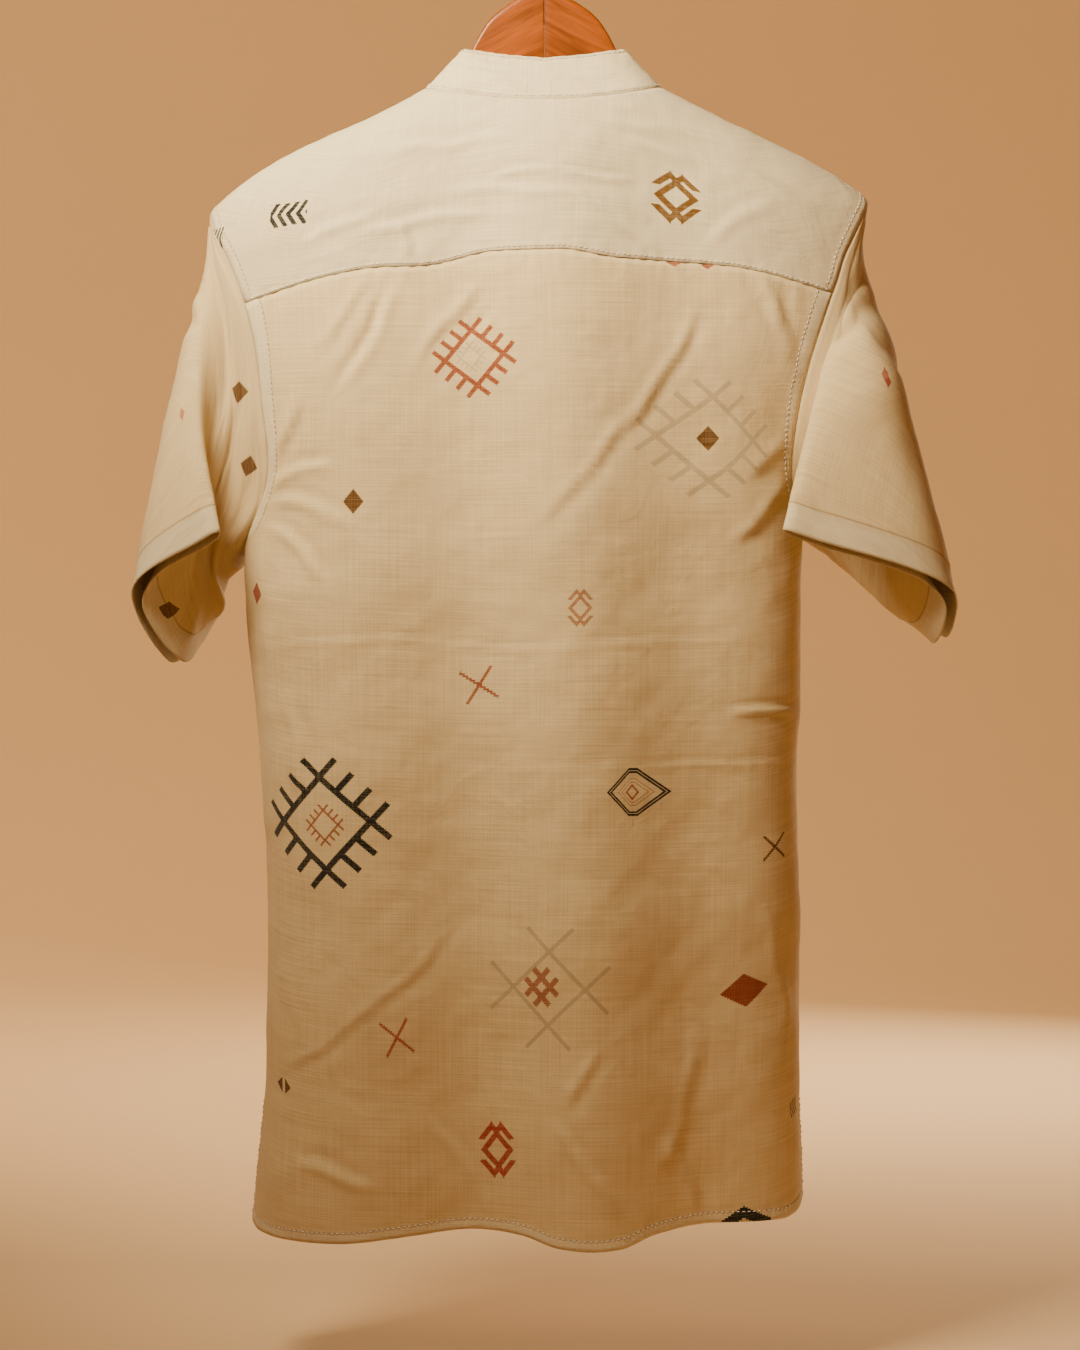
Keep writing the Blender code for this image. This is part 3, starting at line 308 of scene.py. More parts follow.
# Creases: the two ends of each, how far its middle bows aside, its half width and its height.
# Columns: x0, z0, x1, z1, bow, width, height.
BACK_CREASES = (
    (-0.1950, -0.5214, -0.0600, -0.5164, 0.002, 0.0017, 0.0008),
    (-0.0976, -0.5164, 0.0400, -0.5232, -0.002, 0.0017, 0.0008),
    (0.0000, -0.5232, 0.1400, -0.5164, 0.002, 0.0017, 0.0008),
    (0.1204, -0.5651, 0.1800, -0.5627, -0.001, 0.0024, 0.0018),
    (0.0500, -0.6027, 0.1800, -0.6009, 0.001, 0.0017, 0.0009),
    (-0.0297, -0.6053, 0.0700, -0.6027, 0.001, 0.0016, 0.0005),
    (-0.1022, -0.2624, -0.1468, -0.3500, 0.004, 0.0034, -0.0024),
    (-0.1160, -0.2608, -0.1679, -0.3300, 0.003, 0.0030, 0.0018),
    (-0.0380, -0.2700, -0.0900, -0.3300, -0.003, 0.0032, 0.0018),
    (-0.0302, -0.2837, -0.0609, -0.3113, 0.002, 0.0026, -0.0012),
    (0.1068, -0.2832, 0.0400, -0.3864, 0.006, 0.0038, 0.0018),
    (0.0600, -0.3564, -0.0096, -0.4418, 0.004, 0.0034, 0.0013),
    (0.1420, -0.2640, 0.1777, -0.3607, 0.006, 0.0040, 0.0026),
    (0.1311, -0.2633, 0.1700, -0.3262, 0.004, 0.0034, -0.0018),
    (-0.0633, -0.7116, -0.1300, -0.7720, 0.004, 0.0034, 0.0010),
    (-0.1100, -0.7564, -0.1820, -0.8110, 0.003, 0.0032, 0.0010),
    (-0.0836, -0.8329, -0.0364, -0.9050, 0.003, 0.0036, 0.0011),
    (-0.0028, -0.8324, 0.0560, -0.9180, 0.004, 0.0036, 0.0013),
    (0.1051, -0.7592, 0.0712, -0.8933, 0.006, 0.0050, 0.0011),
    (0.0375, -0.7854, 0.0106, -0.8324, 0.002, 0.0036, 0.0016),
    (-0.1930, -0.4123, -0.1395, -0.3966, 0.003, 0.0034, 0.0018),
    (-0.1940, -0.4192, -0.1254, -0.4414, 0.004, 0.0038, 0.0020),
    (-0.1950, -0.4329, -0.1459, -0.4822, 0.004, 0.0036, 0.0017),
    (-0.1678, -0.3442, -0.1893, -0.3985, 0.003, 0.0036, 0.0017),
    (0.1780, -0.3646, 0.1337, -0.4070, 0.003, 0.0036, 0.0016),
    (0.1780, -0.3888, 0.1231, -0.4516, 0.005, 0.0040, 0.0018),
    (-0.0440, -0.2015, 0.0109, -0.1946, 0.002, 0.0020, 0.0015),
    (-0.1500, -0.1850, -0.0500, -0.1780, 0.003, 0.0040, 0.0014),
    (-0.0800, -0.2080, 0.0300, -0.2130, 0.002, 0.0034, 0.0013),
    (0.0300, -0.1600, 0.1300, -0.1750, 0.003, 0.0040, 0.0012),
    (0.1200, -0.1900, 0.1950, -0.2250, 0.002, 0.0040, 0.0014),
    (-0.1950, -0.2050, -0.1600, -0.2500, 0.002, 0.0040, 0.0013),
    (0.0050, -0.1946, 0.0659, -0.2000, -0.002, 0.0018, 0.0014),
    (-0.1334, -0.2410, -0.0302, -0.2225, 0.003, 0.0032, 0.0015),
    (-0.1024, -0.2290, -0.0905, -0.2570, 0.002, 0.0032, 0.0018),
    (0.0109, -0.2072, 0.0657, -0.2474, 0.002, 0.0027, 0.0014),
    (0.1070, -0.2485, 0.1629, -0.2122, 0.003, 0.0040, 0.0016),
    (-0.1684, -0.2469, -0.1127, -0.2240, 0.002, 0.0036, 0.0014),
    (0.0522, -0.1721, 0.1073, -0.1926, 0.003, 0.0032, 0.0014),
    (-0.0785, -0.1790, -0.0166, -0.1722, 0.002, 0.0032, 0.0012),
    (-0.1733, -0.8709, -0.1107, -0.8875, 0.002, 0.0040, 0.0018),
    (0.0780, -0.8463, 0.1051, -0.9100, 0.002, 0.0049, 0.0020),
    (0.1463, -0.6926, 0.1674, -0.7954, 0.004, 0.0054, 0.0019),
    (-0.1773, -0.5572, -0.1662, -0.6252, 0.003, 0.0045, 0.0020),
)
FRONT_CREASES = (
    (-0.1850, -0.5180, -0.0300, -0.5230, 0.002, 0.0023, 0.0015),
    (0.0250, -0.5200, 0.1750, -0.5160, -0.002, 0.0022, 0.0014),
    (-0.1700, -0.6030, -0.0200, -0.6060, 0.001, 0.0023, 0.0014),
    (0.0300, -0.6010, 0.1700, -0.6040, 0.001, 0.0023, 0.0015),
    (-0.1300, -0.2700, -0.1750, -0.3700, 0.006, 0.0059, 0.0035),
    (0.1200, -0.2650, 0.1650, -0.3600, 0.006, 0.0059, 0.0035),
    (-0.0500, -0.2300, -0.1200, -0.3300, 0.005, 0.0063, 0.0023),
    (0.0500, -0.2400, 0.1100, -0.3400, 0.005, 0.0063, 0.0022),
    (-0.1900, -0.4200, -0.1100, -0.4500, 0.004, 0.0049, 0.0032),
    (0.1780, -0.4000, 0.1100, -0.4600, 0.004, 0.0049, 0.0030),
    (-0.0300, -0.5500, -0.0900, -0.7000, 0.006, 0.0072, 0.0024),
    (0.0350, -0.5600, 0.0800, -0.7200, 0.006, 0.0072, 0.0024),
    (-0.1400, -0.7600, -0.1000, -0.8900, 0.005, 0.0063, 0.0024),
    (0.1200, -0.7800, 0.0900, -0.9000, 0.005, 0.0063, 0.0024),
    (0.0000, -0.7600, 0.0250, -0.8900, 0.004, 0.0063, 0.0022),
)
# On a sleeve the first number runs round it from the shoulder point behind, the second down it.
SLEEVE_CREASES = {
    LEFT: (
        (0.2400, -0.0100, 0.1700, -0.0800, 0.006, 0.0049, 0.0030),
        (0.2700, -0.0080, 0.2200, -0.0700, 0.004, 0.0040, 0.0024),
        (0.0900, -0.0400, 0.1200, -0.1900, 0.008, 0.0063, 0.0024),
        (0.4200, -0.0300, 0.3900, -0.2000, 0.008, 0.0072, 0.0027),
        (0.4700, -0.0600, 0.4800, -0.2200, 0.006, 0.0063, 0.0022),
        (0.3400, -0.0200, 0.3300, -0.1000, 0.005, 0.0045, 0.0024),
        (0.3800, -0.1200, 0.4800, -0.1500, 0.004, 0.0036, 0.0016),
    ),
    RIGHT: (
        (0.2400, -0.0100, 0.1800, -0.0800, 0.006, 0.0049, 0.0030),
        (0.2700, -0.0080, 0.2300, -0.0700, 0.004, 0.0040, 0.0024),
        (0.0800, -0.0500, 0.1000, -0.2100, 0.008, 0.0063, 0.0027),
        (0.4300, -0.0400, 0.4000, -0.2100, 0.008, 0.0072, 0.0027),
        (0.4900, -0.0500, 0.5100, -0.2200, 0.006, 0.0063, 0.0022),
        (0.3500, -0.0200, 0.3400, -0.1100, 0.005, 0.0045, 0.0024),
        (0.1200, -0.1200, 0.0600, -0.1500, 0.004, 0.0036, 0.0016),
    ),
}

# Printed motifs, plain ones of old weaving: where each lies, its half sizes, line, turn, step and ink.
# Columns: kind, x, z, half_width, half_height, line, turn, step, ink, strength.
INKS = {
    "black": (0.010, 0.011, 0.010),
    "rust": (0.29, 0.050, 0.013),
    "ochre": (0.17, 0.070, 0.004),
    "brown": (0.13, 0.050, 0.006),
    "red": (0.38, 0.028, 0.014),
    "pale": (0.50, 0.39, 0.23),
}
MOTIFS = {
    "yoke": (
        ("chevrons", -0.1775, -0.2238, 0.0200, 0.0106, 0.130, -0.26, 0.0008, "black", 1.00),
        ("chevrons", -0.2290, -0.2390, 0.0080, 0.0090, 0.130, -0.26, 0.0008, "black", 1.00),
        ("hooked", 0.0906, -0.2117, 0.0222, 0.0232, 0.148, 0.0, 0.0008, "ochre", 1.00),
    ),
    "back": (
        ("comb", -0.0478, -0.3244, 0.0368, 0.0345, 0.062, -0.12, 0.0010, "rust", 0.95),
        ("comb", -0.0500, -0.3238, 0.0128, 0.0136, 0.055, -0.12, 0.0004, "pale", 0.75),
        ("comb", 0.1140, -0.3791, 0.0690, 0.0515, 0.043, 0.05, 0.0004, "pale", 0.80),
        ("lozenge", 0.1118, -0.3791, 0.0086, 0.0086, 0.050, 0.0, 0.0010, "brown", 0.98),
        ("lozenge", -0.1296, -0.4228, 0.0072, 0.0092, 0.050, 0.0, 0.0012, "brown", 0.98),
        ("hooked", 0.0243, -0.4955, 0.0122, 0.0136, 0.120, 0.0, 0.0012, "rust", 0.72),
        ("cross", -0.0440, -0.5475, 0.0222, 0.0216, 0.065, -0.24, 0.0014, "rust", 0.90),
        ("comb", -0.1500, -0.6410, 0.0600, 0.0560, 0.052, -0.08, 0.0010, "black", 1.00),
        ("comb", -0.1490, -0.6420, 0.0180, 0.0180, 0.056, -0.08, 0.0008, "rust", 0.90),
        ("rings", 0.0595, -0.6190, 0.0184, 0.0186, 0.046, 0.0, 0.0004, "black", 1.00),
        ("fine_rings", 0.0595, -0.6190, 0.0184, 0.0186, 0.024, 0.0, 0.0004, "rust", 0.60),
        ("ring", 0.0595, -0.6190, 0.0054, 0.0058, 0.170, 0.0, 0.0004, "rust", 0.90),
        ("cross", 0.1582, -0.6583, 0.0190, 0.0162, 0.070, 0.05, 0.0012, "brown", 0.95),
        ("lattice", 0.0025, -0.7504, 0.0460, 0.0450, 0.042, 0.03, 0.0004, "pale", 0.85),
        ("hash", -0.0021, -0.7498, 0.0182, 0.0196, 0.140, 0.0, 0.0012, "rust", 0.82),
        ("lozenge", 0.1366, -0.7552, 0.0178, 0.0115, 0.050, -0.10, 0.0010, "rust", 0.98),
        ("cross", -0.0992, -0.7847, 0.0190, 0.0230, 0.065, -0.22, 0.0012, "red", 0.85),
        ("split_lozenge", -0.1789, -0.8211, 0.0076, 0.0066, 0.050, 0.0, 0.0004, "brown", 1.00),
        ("hooked", -0.0317, -0.8607, 0.0168, 0.0196, 0.145, -0.05, 0.0008, "red", 0.92),
        ("peak", 0.1359, -0.9080, 0.0203, 0.0095, 0.420, 0.0, 0.0012, "black", 1.00),
        ("chevrons", 0.1730, -0.8386, 0.0050, 0.0062, 0.110, -0.2, 0.0008, "black", 0.95),
        ("lozenge", 0.0891, -0.2580, 0.0060, 0.0034, 0.050, 0.0, 0.0008, "rust", 0.90),
        ("lozenge", 0.1118, -0.2600, 0.0046, 0.0030, 0.050, 0.0, 0.0008, "rust", 0.90),
        ("lozenge", -0.1985, -0.4850, 0.0052, 0.0078, 0.050, 0.0, 0.0010, "rust", 0.95),
    ),
    "front": (
        ("comb", 0.1000, -0.3500, 0.0360, 0.0380, 0.060, 0.10, 0.0012, "black", 0.90),
        ("hooked", -0.0950, -0.3200, 0.0130, 0.0180, 0.120, 0.0, 0.0012, "ochre", 0.90),
        ("lozenge", -0.1300, -0.4700, 0.0080, 0.0095, 0.050, 0.0, 0.0010, "rust", 0.88),
        ("lattice", 0.0800, -0.5900, 0.0450, 0.0500, 0.050, 0.05, 0.0004, "pale", 0.75),
        ("hash", 0.0800, -0.5900, 0.0200, 0.0220, 0.130, 0.0, 0.0012, "rust", 0.70),
        ("cross", -0.0500, -0.6100, 0.0240, 0.0240, 0.055, 0.15, 0.0012, "brown", 0.85),
        ("comb", -0.1000, -0.7500, 0.0480, 0.0500, 0.050, -0.06, 0.0012, "rust", 0.80),
        ("lozenge", 0.1200, -0.7600, 0.0120, 0.0090, 0.050, 0.0, 0.0010, "red", 0.85),
        ("hooked", 0.0400, -0.8300, 0.0120, 0.0180, 0.120, 0.0, 0.0012, "red", 0.80),
        ("chevrons", -0.0300, -0.8700, 0.0140, 0.0085, 0.110, -0.2, 0.0008, "black", 0.90),
    ),
    "sleeve_left": (
        ("lozenge", -0.2124, -0.3480, 0.0310, 0.0045, 0.050, -0.60, 0.0008, "brown", 0.98),
        ("lozenge", -0.2030, -0.3960, 0.0190, 0.0036, 0.050, -0.46, 0.0008, "brown", 0.98),
        ("lozenge", -0.2480, -0.3600, 0.0030, 0.0050, 0.050, 0.0, 0.0008, "red", 0.70),
        ("lozenge", -0.2560, -0.4920, 0.0166, 0.0050, 0.050, -1.10, 0.0008, "brown", 0.92),
    ),
    "sleeve_right": (
        ("lozenge", 0.2300, -0.3340, 0.0080, 0.0017, 0.050, -0.75, 0.0004, "red", 0.80),
        ("lozenge", 0.2345, -0.3400, 0.0064, 0.0015, 0.050, -0.75, 0.0004, "red", 0.90),
    ),
}

# Buttons: the turned profile, as radius and height, and where its thread lies.
BUTTON_PROFILE = (
    (0.0006, 0.0015),
    (0.0030, 0.0015),
    (0.0040, 0.0021),
    (0.0046, 0.0025),
    (0.0052, 0.0022),
    (0.0055, 0.0014),
    (0.0050, 0.0003),
    (0.0030, 0.0001),
    (0.0006, 0.0001),
)
BUTTON_FACE = 0.0016
BUTTON_BAR, BUTTON_BAR_APART = 0.0026, 0.0011

# Stage, lights and camera.
FLOOR_Z = -1.0200
STAGE_RADIUS, STAGE_BEND, STAGE_HEIGHT, STAGE_SIDES = 5.0, 2.6, 4.5, 96
LIGHTS = (
    ("key", (-0.42, -0.50, 0.25), (0.0, 0.0, -0.14), 0.34, 96, 0.36, (1.0, 0.85, 0.58)),
    ("fill", (1.10, -1.90, 0.10), (0.0, 0.0, -0.60), 1.20, 180, 0.75, (1.0, 0.70, 0.42)),
    ("fill", (0.80, 1.70, 0.05), (0.0, 0.0, -0.45), 0.90, 180, 18.0, (1.0, 0.88, 0.70)),
    ("fill", (-0.90, 0.90, 1.30), (-0.40, 5.0, 0.40), 2.40, 180, 66.0, (1.0, 0.76, 0.46)),
    ("fill", (-0.60, -2.40, 1.30), (-0.20, -5.0, 0.40), 2.40, 180, 7.0, (1.0, 0.80, 0.54)),
)
WORLD_COLOUR, WORLD_STRENGTH = (1.0, 0.72, 0.44), 0.035
SENSOR = 36.0
FRAME_HEIGHT = 0.945
CAMERA_X, CAMERA_Z = -0.0028, -0.5400

# What has been made once and is used again.
MADE = {}


def column(table, names, name):
    """One column of a table, as an array."""
    place = names.index(name)
    return np.array([row[place] for row in table], float)


def cubic(t, step, first, last, first_slope, last_slope):
    """Value a share t along a step, by the cubic with these end values and slopes."""
    start = (1 + 2 * t) * (1 - t) ** 2 * first + t * (1 - t) ** 2 * step * first_slope
    end = t**2 * (3 - 2 * t) * last - t**2 * (1 - t) * step * last_slope
    return start + end


def smooth(keys, values, x):
    """Cubic through a table's rows, with its slopes limited so that it never swings past them."""
    keys, values = np.asarray(keys, float), np.asarray(values, float)
    if keys[0] > keys[-1]:
        keys, values = keys[::-1], values[::-1]
    step = np.diff(keys)
    rise = np.diff(values) / step
    slope = np.concatenate([rise[:1], np.zeros(len(keys) - 2), rise[-1:]])
    before, after = rise[:-1], rise[1:]
    same = before * after > 0
    slope[1:-1][same] = 2 * before[same] * after[same] / (before[same] + after[same])
    x = np.clip(x, keys[0], keys[-1])
    i = np.clip(np.searchsorted(keys, x, side="right") - 1, 0, len(step) - 1)
    t = (x - keys[i]) / step[i]
    return cubic(t, step[i], values[i], values[i + 1], slope[i], slope[i + 1])


def through(keys, points, u):
    """Smooth curve through points: keys has a value for each, u the values wanted. Points may be arrays."""
    keys, points, u = np.asarray(keys, float), np.asarray(points, float), np.atleast_1d(u)
    slope = np.gradient(points, keys, axis=0)
    i = np.clip(np.searchsorted(keys, u, side="right") - 1, 0, len(keys) - 2)
    step = (keys[i + 1] - keys[i]).reshape((-1,) + (1,) * (points.ndim - 1))
    t = (u - keys[i]).reshape(step.shape) / step
    return cubic(t, step, points[i], points[i + 1], slope[i], slope[i + 1])


def unit(vectors):
    """Vectors divided by their lengths."""
    return vectors / np.maximum(np.linalg.norm(vectors, axis=-1, keepdims=True), 1e-12)


def ease(t):
    """Smooth step 3 t^2 - 2 t^3, with t kept between 0 and 1."""
    t = np.clip(t, 0, 1)
    return t * t * (3 - 2 * t)


def section(z, name):
    """A section's reach or power at height z."""
    return smooth(column(SECTIONS, SECTION_COLUMNS, "z"), column(SECTIONS, SECTION_COLUMNS, name), z)


def fold_height(x, z, folds):
    """How far the lengthwise folds push the cloth out at (x, z): one bell curve each, wider apart below."""
    down = np.clip((FOLD_TOP - z) / (FOLD_TOP - FOLD_HEM), 0, 1.05)
    total = np.zeros(np.broadcast(x, z).shape)
    for x_top, x_hem, width, height_top, height_hem in folds:
        middle = x_top + (x_hem - x_top) * down
        height = height_top + (height_hem - height_top) * down
        total = total + height * np.exp(-(((x - middle) / width) ** 2))
    return total * ease((NECK_Z - z) / FOLD_START)


def body(angle, z):
    """Point of the tunic's body: angle 0 at the right side, pi / 2 at centre front, minus that behind."""
    angle, z = np.broadcast_arrays(np.asarray(angle, float), np.asarray(z, float))
    left, right, power = section(z, "left"), section(z, "right"), section(z, "power")
    cos, sin = np.cos(angle), np.sin(angle)
    x = (left + right) / 2 + (right - left) / 2 * np.sign(cos) * np.abs(cos) ** (2 / power)
    behind = section(z, "back") + fold_height(x, z, BACK_FOLDS)
    before = section(z, "front") + fold_height(x, z, FRONT_FOLDS)
    depth = np.where(sin < 0, behind, before) * np.abs(sin) ** (2 / power)
    return np.stack([x, np.sign(sin) * depth, z], axis=-1)


def body_out(angle, z):
    """Direction out of the body's surface, from its slopes along the section and up it."""
    step_angle, step_z = 0.004, 0.0005
    around = body(angle + step_angle, z) - body(angle - step_angle, z)
    up = body(angle, z + step_z) - body(angle, z - step_z)
    return unit(np.cross(around, up))


def angle_at(x, z, half):
    """Angle of the body's point at (x, z) on its back or front half."""
    left, right, power = section(z, "left"), section(z, "right"), section(z, "power")
    reach = np.clip((x - (left + right) / 2) / ((right - left) / 2), -1, 1)
    return half * np.arccos(np.sign(reach) * np.abs(reach) ** (power / 2))


def angle_of_depth(depth, z, side, half):
    """Angle of the point that lies this deep behind or in front of the side of the section."""
    reach = section(z, "back" if half == BACK else "front")
    turn = np.arcsin(np.clip(depth / reach, 0, 1) ** (section(z, "power") / 2))
    return half * (turn if side == RIGHT else math.pi - turn)


def shoulder_z(x):
    """Height of the shoulder line at x."""
    heights = column(SECTIONS, SECTION_COLUMNS, "z")[:8]
    left = smooth(-column(SECTIONS, SECTION_COLUMNS, "left")[:8], heights, -np.minimum(x, 0))
    right = smooth(column(SECTIONS, SECTION_COLUMNS, "right")[:8], heights, np.maximum(x, 0))
    return np.where(x < 0, left, right)


def armhole_turns(side, half):
    """Turns round the armhole from the shoulder (0) to the armpit (pi), with one at the yoke's corner."""
    middle, reach = armhole_middle(side)
    corner = math.acos(((YOKE_CORNER[side, half] - middle) / reach) ** (ARMHOLE_POWER_TOP / 2))
    on_yoke = np.linspace(0, corner, YOKE_STEPS[half] + 1)
    on_panel = np.linspace(corner, math.pi, PANEL_STEPS[half] + 1)
    return np.concatenate([on_yoke, on_panel[1:]])


def armhole_middle(side):
    """Middle height and half height of an armhole."""
    top, foot = ARMHOLE_TOP[side], ARMHOLE_FOOT[side]
    return (top + foot) / 2, (top - foot) / 2


def armhole(side, half, turns):
    """Body angles and heights along one half of an armhole's seam."""
    middle, reach = armhole_middle(side)
    cos, sin = np.cos(turns), np.sin(turns)
    power = np.where(cos > 0, ARMHOLE_POWER_TOP, ARMHOLE_POWER_FOOT)
    z = middle + reach * np.sign(cos) * np.abs(cos) ** (2 / power)
    depth = ARMHOLE_DEPTH[half] * np.abs(sin) ** (2 / power)
    return angle_of_depth(np.maximum(depth, SEAM_GAP / 2), z, side, half), z


def neck(angle):
    """(x, z, half) of the neck seam by the angle from centre back, plus to the right, minus to the left."""
    cos = np.cos(angle)
    dip = np.where(
        cos > 0,
        NECK_DIP_BACK * np.abs(cos) ** NECK_DIP_BACK_POWER,
        NECK_DIP_FRONT * np.abs(cos) ** NECK_DIP_FRONT_POWER,
    )
    x = NECK_HALF * np.sin(angle)
    return x, NECK_Z - dip, np.where(cos > 0, BACK, FRONT)


def neck_point(angle):
    """Point and outward direction on the neck seam."""
    x, z, half = neck(angle)
    turn = angle_at(x, z, half)
    return body(turn, z), body_out(turn, z)


def spread(angle_a, angle_b, z_a, z_b, count):
    """Angles of evenly spaced points along a section between two angles, with height changing evenly."""
    share = np.linspace(0, 1, 160)
    angle = angle_a + (angle_b - angle_a) * share
    points = body(angle, z_a + (z_b - z_a) * share)
    length = run(points, 0)
    return np.interp(np.linspace(0, length[-1], count), length, angle)


def side_edge(side, half):
    """(angle, edge height, even height) down a panel's edge: the armhole, then the side seam and the slit."""
    turns = armhole_turns(side, half)[YOKE_STEPS[half]:]
    angle, z = armhole(side, half, turns)
    top, foot, hem = z[0] - SEAM_GAP, z[-1], HEM_CORNER[side]
    z[0] = top
    even = np.linspace(top, foot, len(z))
    below = np.linspace(foot, hem, ROWS_BELOW + 1)[1:]
    open_share = np.clip((SLIT_TOP - below) / (SLIT_TOP - hem), 0, 1)
    depth = SEAM_GAP / 2 + SLIT_SPREAD[half] * open_share
    seam = angle_of_depth(depth, below, side, half)
    return np.concatenate([angle, seam]), np.concatenate([z, below]), np.concatenate([even, below])


def panel_rows(half, top_z, hem_name, columns):
    """Angles and heights of a panel's grid, where columns(angle_left, angle_right, ...) places a row."""
    left_angle, left_z, left_even = side_edge(LEFT, half)
    right_angle, right_z, right_even = side_edge(RIGHT, half)
    hem_x, hem_z = column(HEM, HEM_COLUMNS, "x"), column(HEM, HEM_COLUMNS, hem_name)
    rows = len(left_z)
    angles, heights = [], []
    for row in range(rows):
        angle, share = columns(left_angle[row], right_angle[row], left_z[row], right_z[row])
        near = ease(1 - share / EDGE_SHARE), ease(1 - (1 - share) / EDGE_SHARE)
        even = left_even[row] + (right_even[row] - left_even[row]) * share
        level = even + near[0] * (left_z[row] - left_even[row]) + near[1] * (right_z[row] - right_even[row])
        x = body(angle, level)[..., 0]
        down = row / (rows - 1)
        top_gap = top_z(x) - (left_z[0] + (right_z[0] - left_z[0]) * share)
        hem_gap = smooth(hem_x, hem_z, x) - (left_z[-1] + (right_z[-1] - left_z[-1]) * share)
        inside = ease(np.minimum(share, 1 - share) / 0.02)
        low = ease((down - HEM_SHARE_START) / (1 - HEM_SHARE_START))
        z = level + inside * (top_gap * ease(1 - down / TOP_SHARE) + hem_gap * low)
        keep_x = ease(1 - down / KEEP_X_SHARE)
        angles.append(angle * (1 - keep_x) + angle_at(x, z, half) * keep_x)
        heights.append(z)
    return np.array(angles), np.array(heights)


def back_grid():
    """Back panel's grid: from the yoke seam, between the armholes and side seams, to the hem."""
    seam_x, seam_z = column(YOKE_SEAM, YOKE_SEAM_COLUMNS, "x"), column(YOKE_SEAM, YOKE_SEAM_COLUMNS, "z")

    def columns(angle_left, angle_right, z_left, z_right):
        share = np.linspace(0, 1, COLUMNS_BACK + 1)
        return spread(angle_left, angle_right, z_left, z_right, COLUMNS_BACK + 1), share

    return panel_rows(BACK, lambda x: smooth(seam_x, seam_z, x) - SEAM_GAP, "back", columns)


def front_yoke_z(x):
    """Height of the front yoke seam at x, from its corner at the armhole to the neck."""
    drop_armhole = shoulder_z(np.array([-FRONT_SEAM_ARM_X]))[0] - YOKE_CORNER[LEFT, FRONT]
    share = np.clip((np.abs(x) - FRONT_SEAM_NECK_X) / (FRONT_SEAM_ARM_X - FRONT_SEAM_NECK_X), 0, 1)
    return shoulder_z(x) - YOKE_FRONT_DROP_NECK - (drop_armhole - YOKE_FRONT_DROP_NECK) * share


def front_top_z(x):
    """Top edge of the front panel: the neck curve between the yoke seams."""
    turn = math.pi - np.arcsin(np.clip(np.abs(x) / NECK_HALF, 0, 1))
    neck_z = NECK_Z - NECK_DIP_FRONT * np.abs(np.cos(turn)) ** NECK_DIP_FRONT_POWER
    return np.minimum(neck_z, front_yoke_z(x)) - SEAM_GAP


def front_grid():
    """Front panel's grid, under the front yoke seams and the neck curve."""

    def columns(angle_left, angle_right, z_left, z_right):
        inner = angle_at(np.array(FRONT_INNER_X), (z_left + z_right) / 2, FRONT)
        from_left = spread(angle_left, inner[0], z_left, (z_left + z_right) / 2, COLUMNS_SIDE + 1)
        to_right = spread(inner[-1], angle_right, (z_left + z_right) / 2, z_right, COLUMNS_SIDE + 1)
        angle = np.concatenate([from_left[:-1], inner, to_right[1:]])
        x = body(angle, (z_left + z_right) / 2)[..., 0]
        return angle, (x - x[0]) / (x[-1] - x[0])

    return panel_rows(FRONT, front_top_z, "front", columns)


def yoke_turns():
    """Turns round the neck of the yoke's lines on one side, from its front seam to its corner behind."""
    front = math.pi - math.acos((YOKE_FRONT_DROP_NECK / NECK_DIP_FRONT) ** (1 / NECK_DIP_FRONT_POWER))
    return np.concatenate(
        [
            np.linspace(front, math.pi / 2, YOKE_STEPS[FRONT] + 1),
            np.linspace(math.pi / 2, YOKE_NECK_CORNER, YOKE_STEPS[BACK] + 1)[1:],
        ]
    )


def sleeve_ring(side, half, turns):
    """Points of one layer of a sleeve at the armhole and at the three keyed places: (4, n, 3)."""
    names = SLEEVE_COLUMNS
    share = (1 - np.cos(turns)) / 2
    back, front = (body(*armhole(side, h, turns)) for h in (BACK, FRONT))
    paths = [through(SLEEVE_KEYS[side], np.array(row[3:]), share) for row in SLEEVES[side]]
    middles = np.array([(back + front) / 2] + paths)
    along = np.concatenate([[0.0], column([row[:2] for row in SLEEVES[side]], names, "along")])
    down_path = np.gradient(middles, share, axis=1)
    down_sleeve = np.gradient(middles, along, axis=0)
    out = unit(np.cross(down_path, down_sleeve)) * side * -1
    rings = [back if half == BACK else front]
    for place, row in enumerate(SLEEVES[side], start=1):
        gap, wedge = row[names.index("half_gap")], row[names.index("wedge")]
        length = np.linalg.norm(np.diff(middles[place], axis=0), axis=1).sum()
        from_crease = np.clip(share * length / wedge, 0, 1)
        from_underarm = np.clip((1 - share) * length / max(gap, 0.004), 0, 1)
        height = gap * (1 - (1 - from_crease) ** 2) ** WEDGE_POWER * np.sqrt(1 - (1 - from_underarm) ** 2)
        rings.append(middles[place] + half * out[place] * height[:, None])
    return np.array(rings), along


def sleeve_layer(side, half, turns, places):
    """One layer of a sleeve: a smooth surface through its rings that swells a little below the shoulder."""
    rings, along = sleeve_ring(side, half, turns)
    layer = through(along, rings, places)
    share = (1 - np.cos(turns)) / 2
    down = np.sin(math.pi * np.clip(places / SWELL_ALONG, 0, 1))[:, None]
    layer[..., 0] += side * SLEEVE_SWELL[side] * down * np.sin(math.pi * np.clip(share / SWELL_ROUND, 0, 1))
    return layer


def armhole_seams():
    """Points along both armholes and round the neck, which the creases and ripples keep clear of."""
    turns = np.linspace(0, math.pi, 50)
    lines = [body(*armhole(side, half, turns)) for side in (LEFT, RIGHT) for half in (BACK, FRONT)]
    lines.append(neck_point(np.linspace(-math.pi, math.pi, 90))[0])
    return np.concatenate(lines)


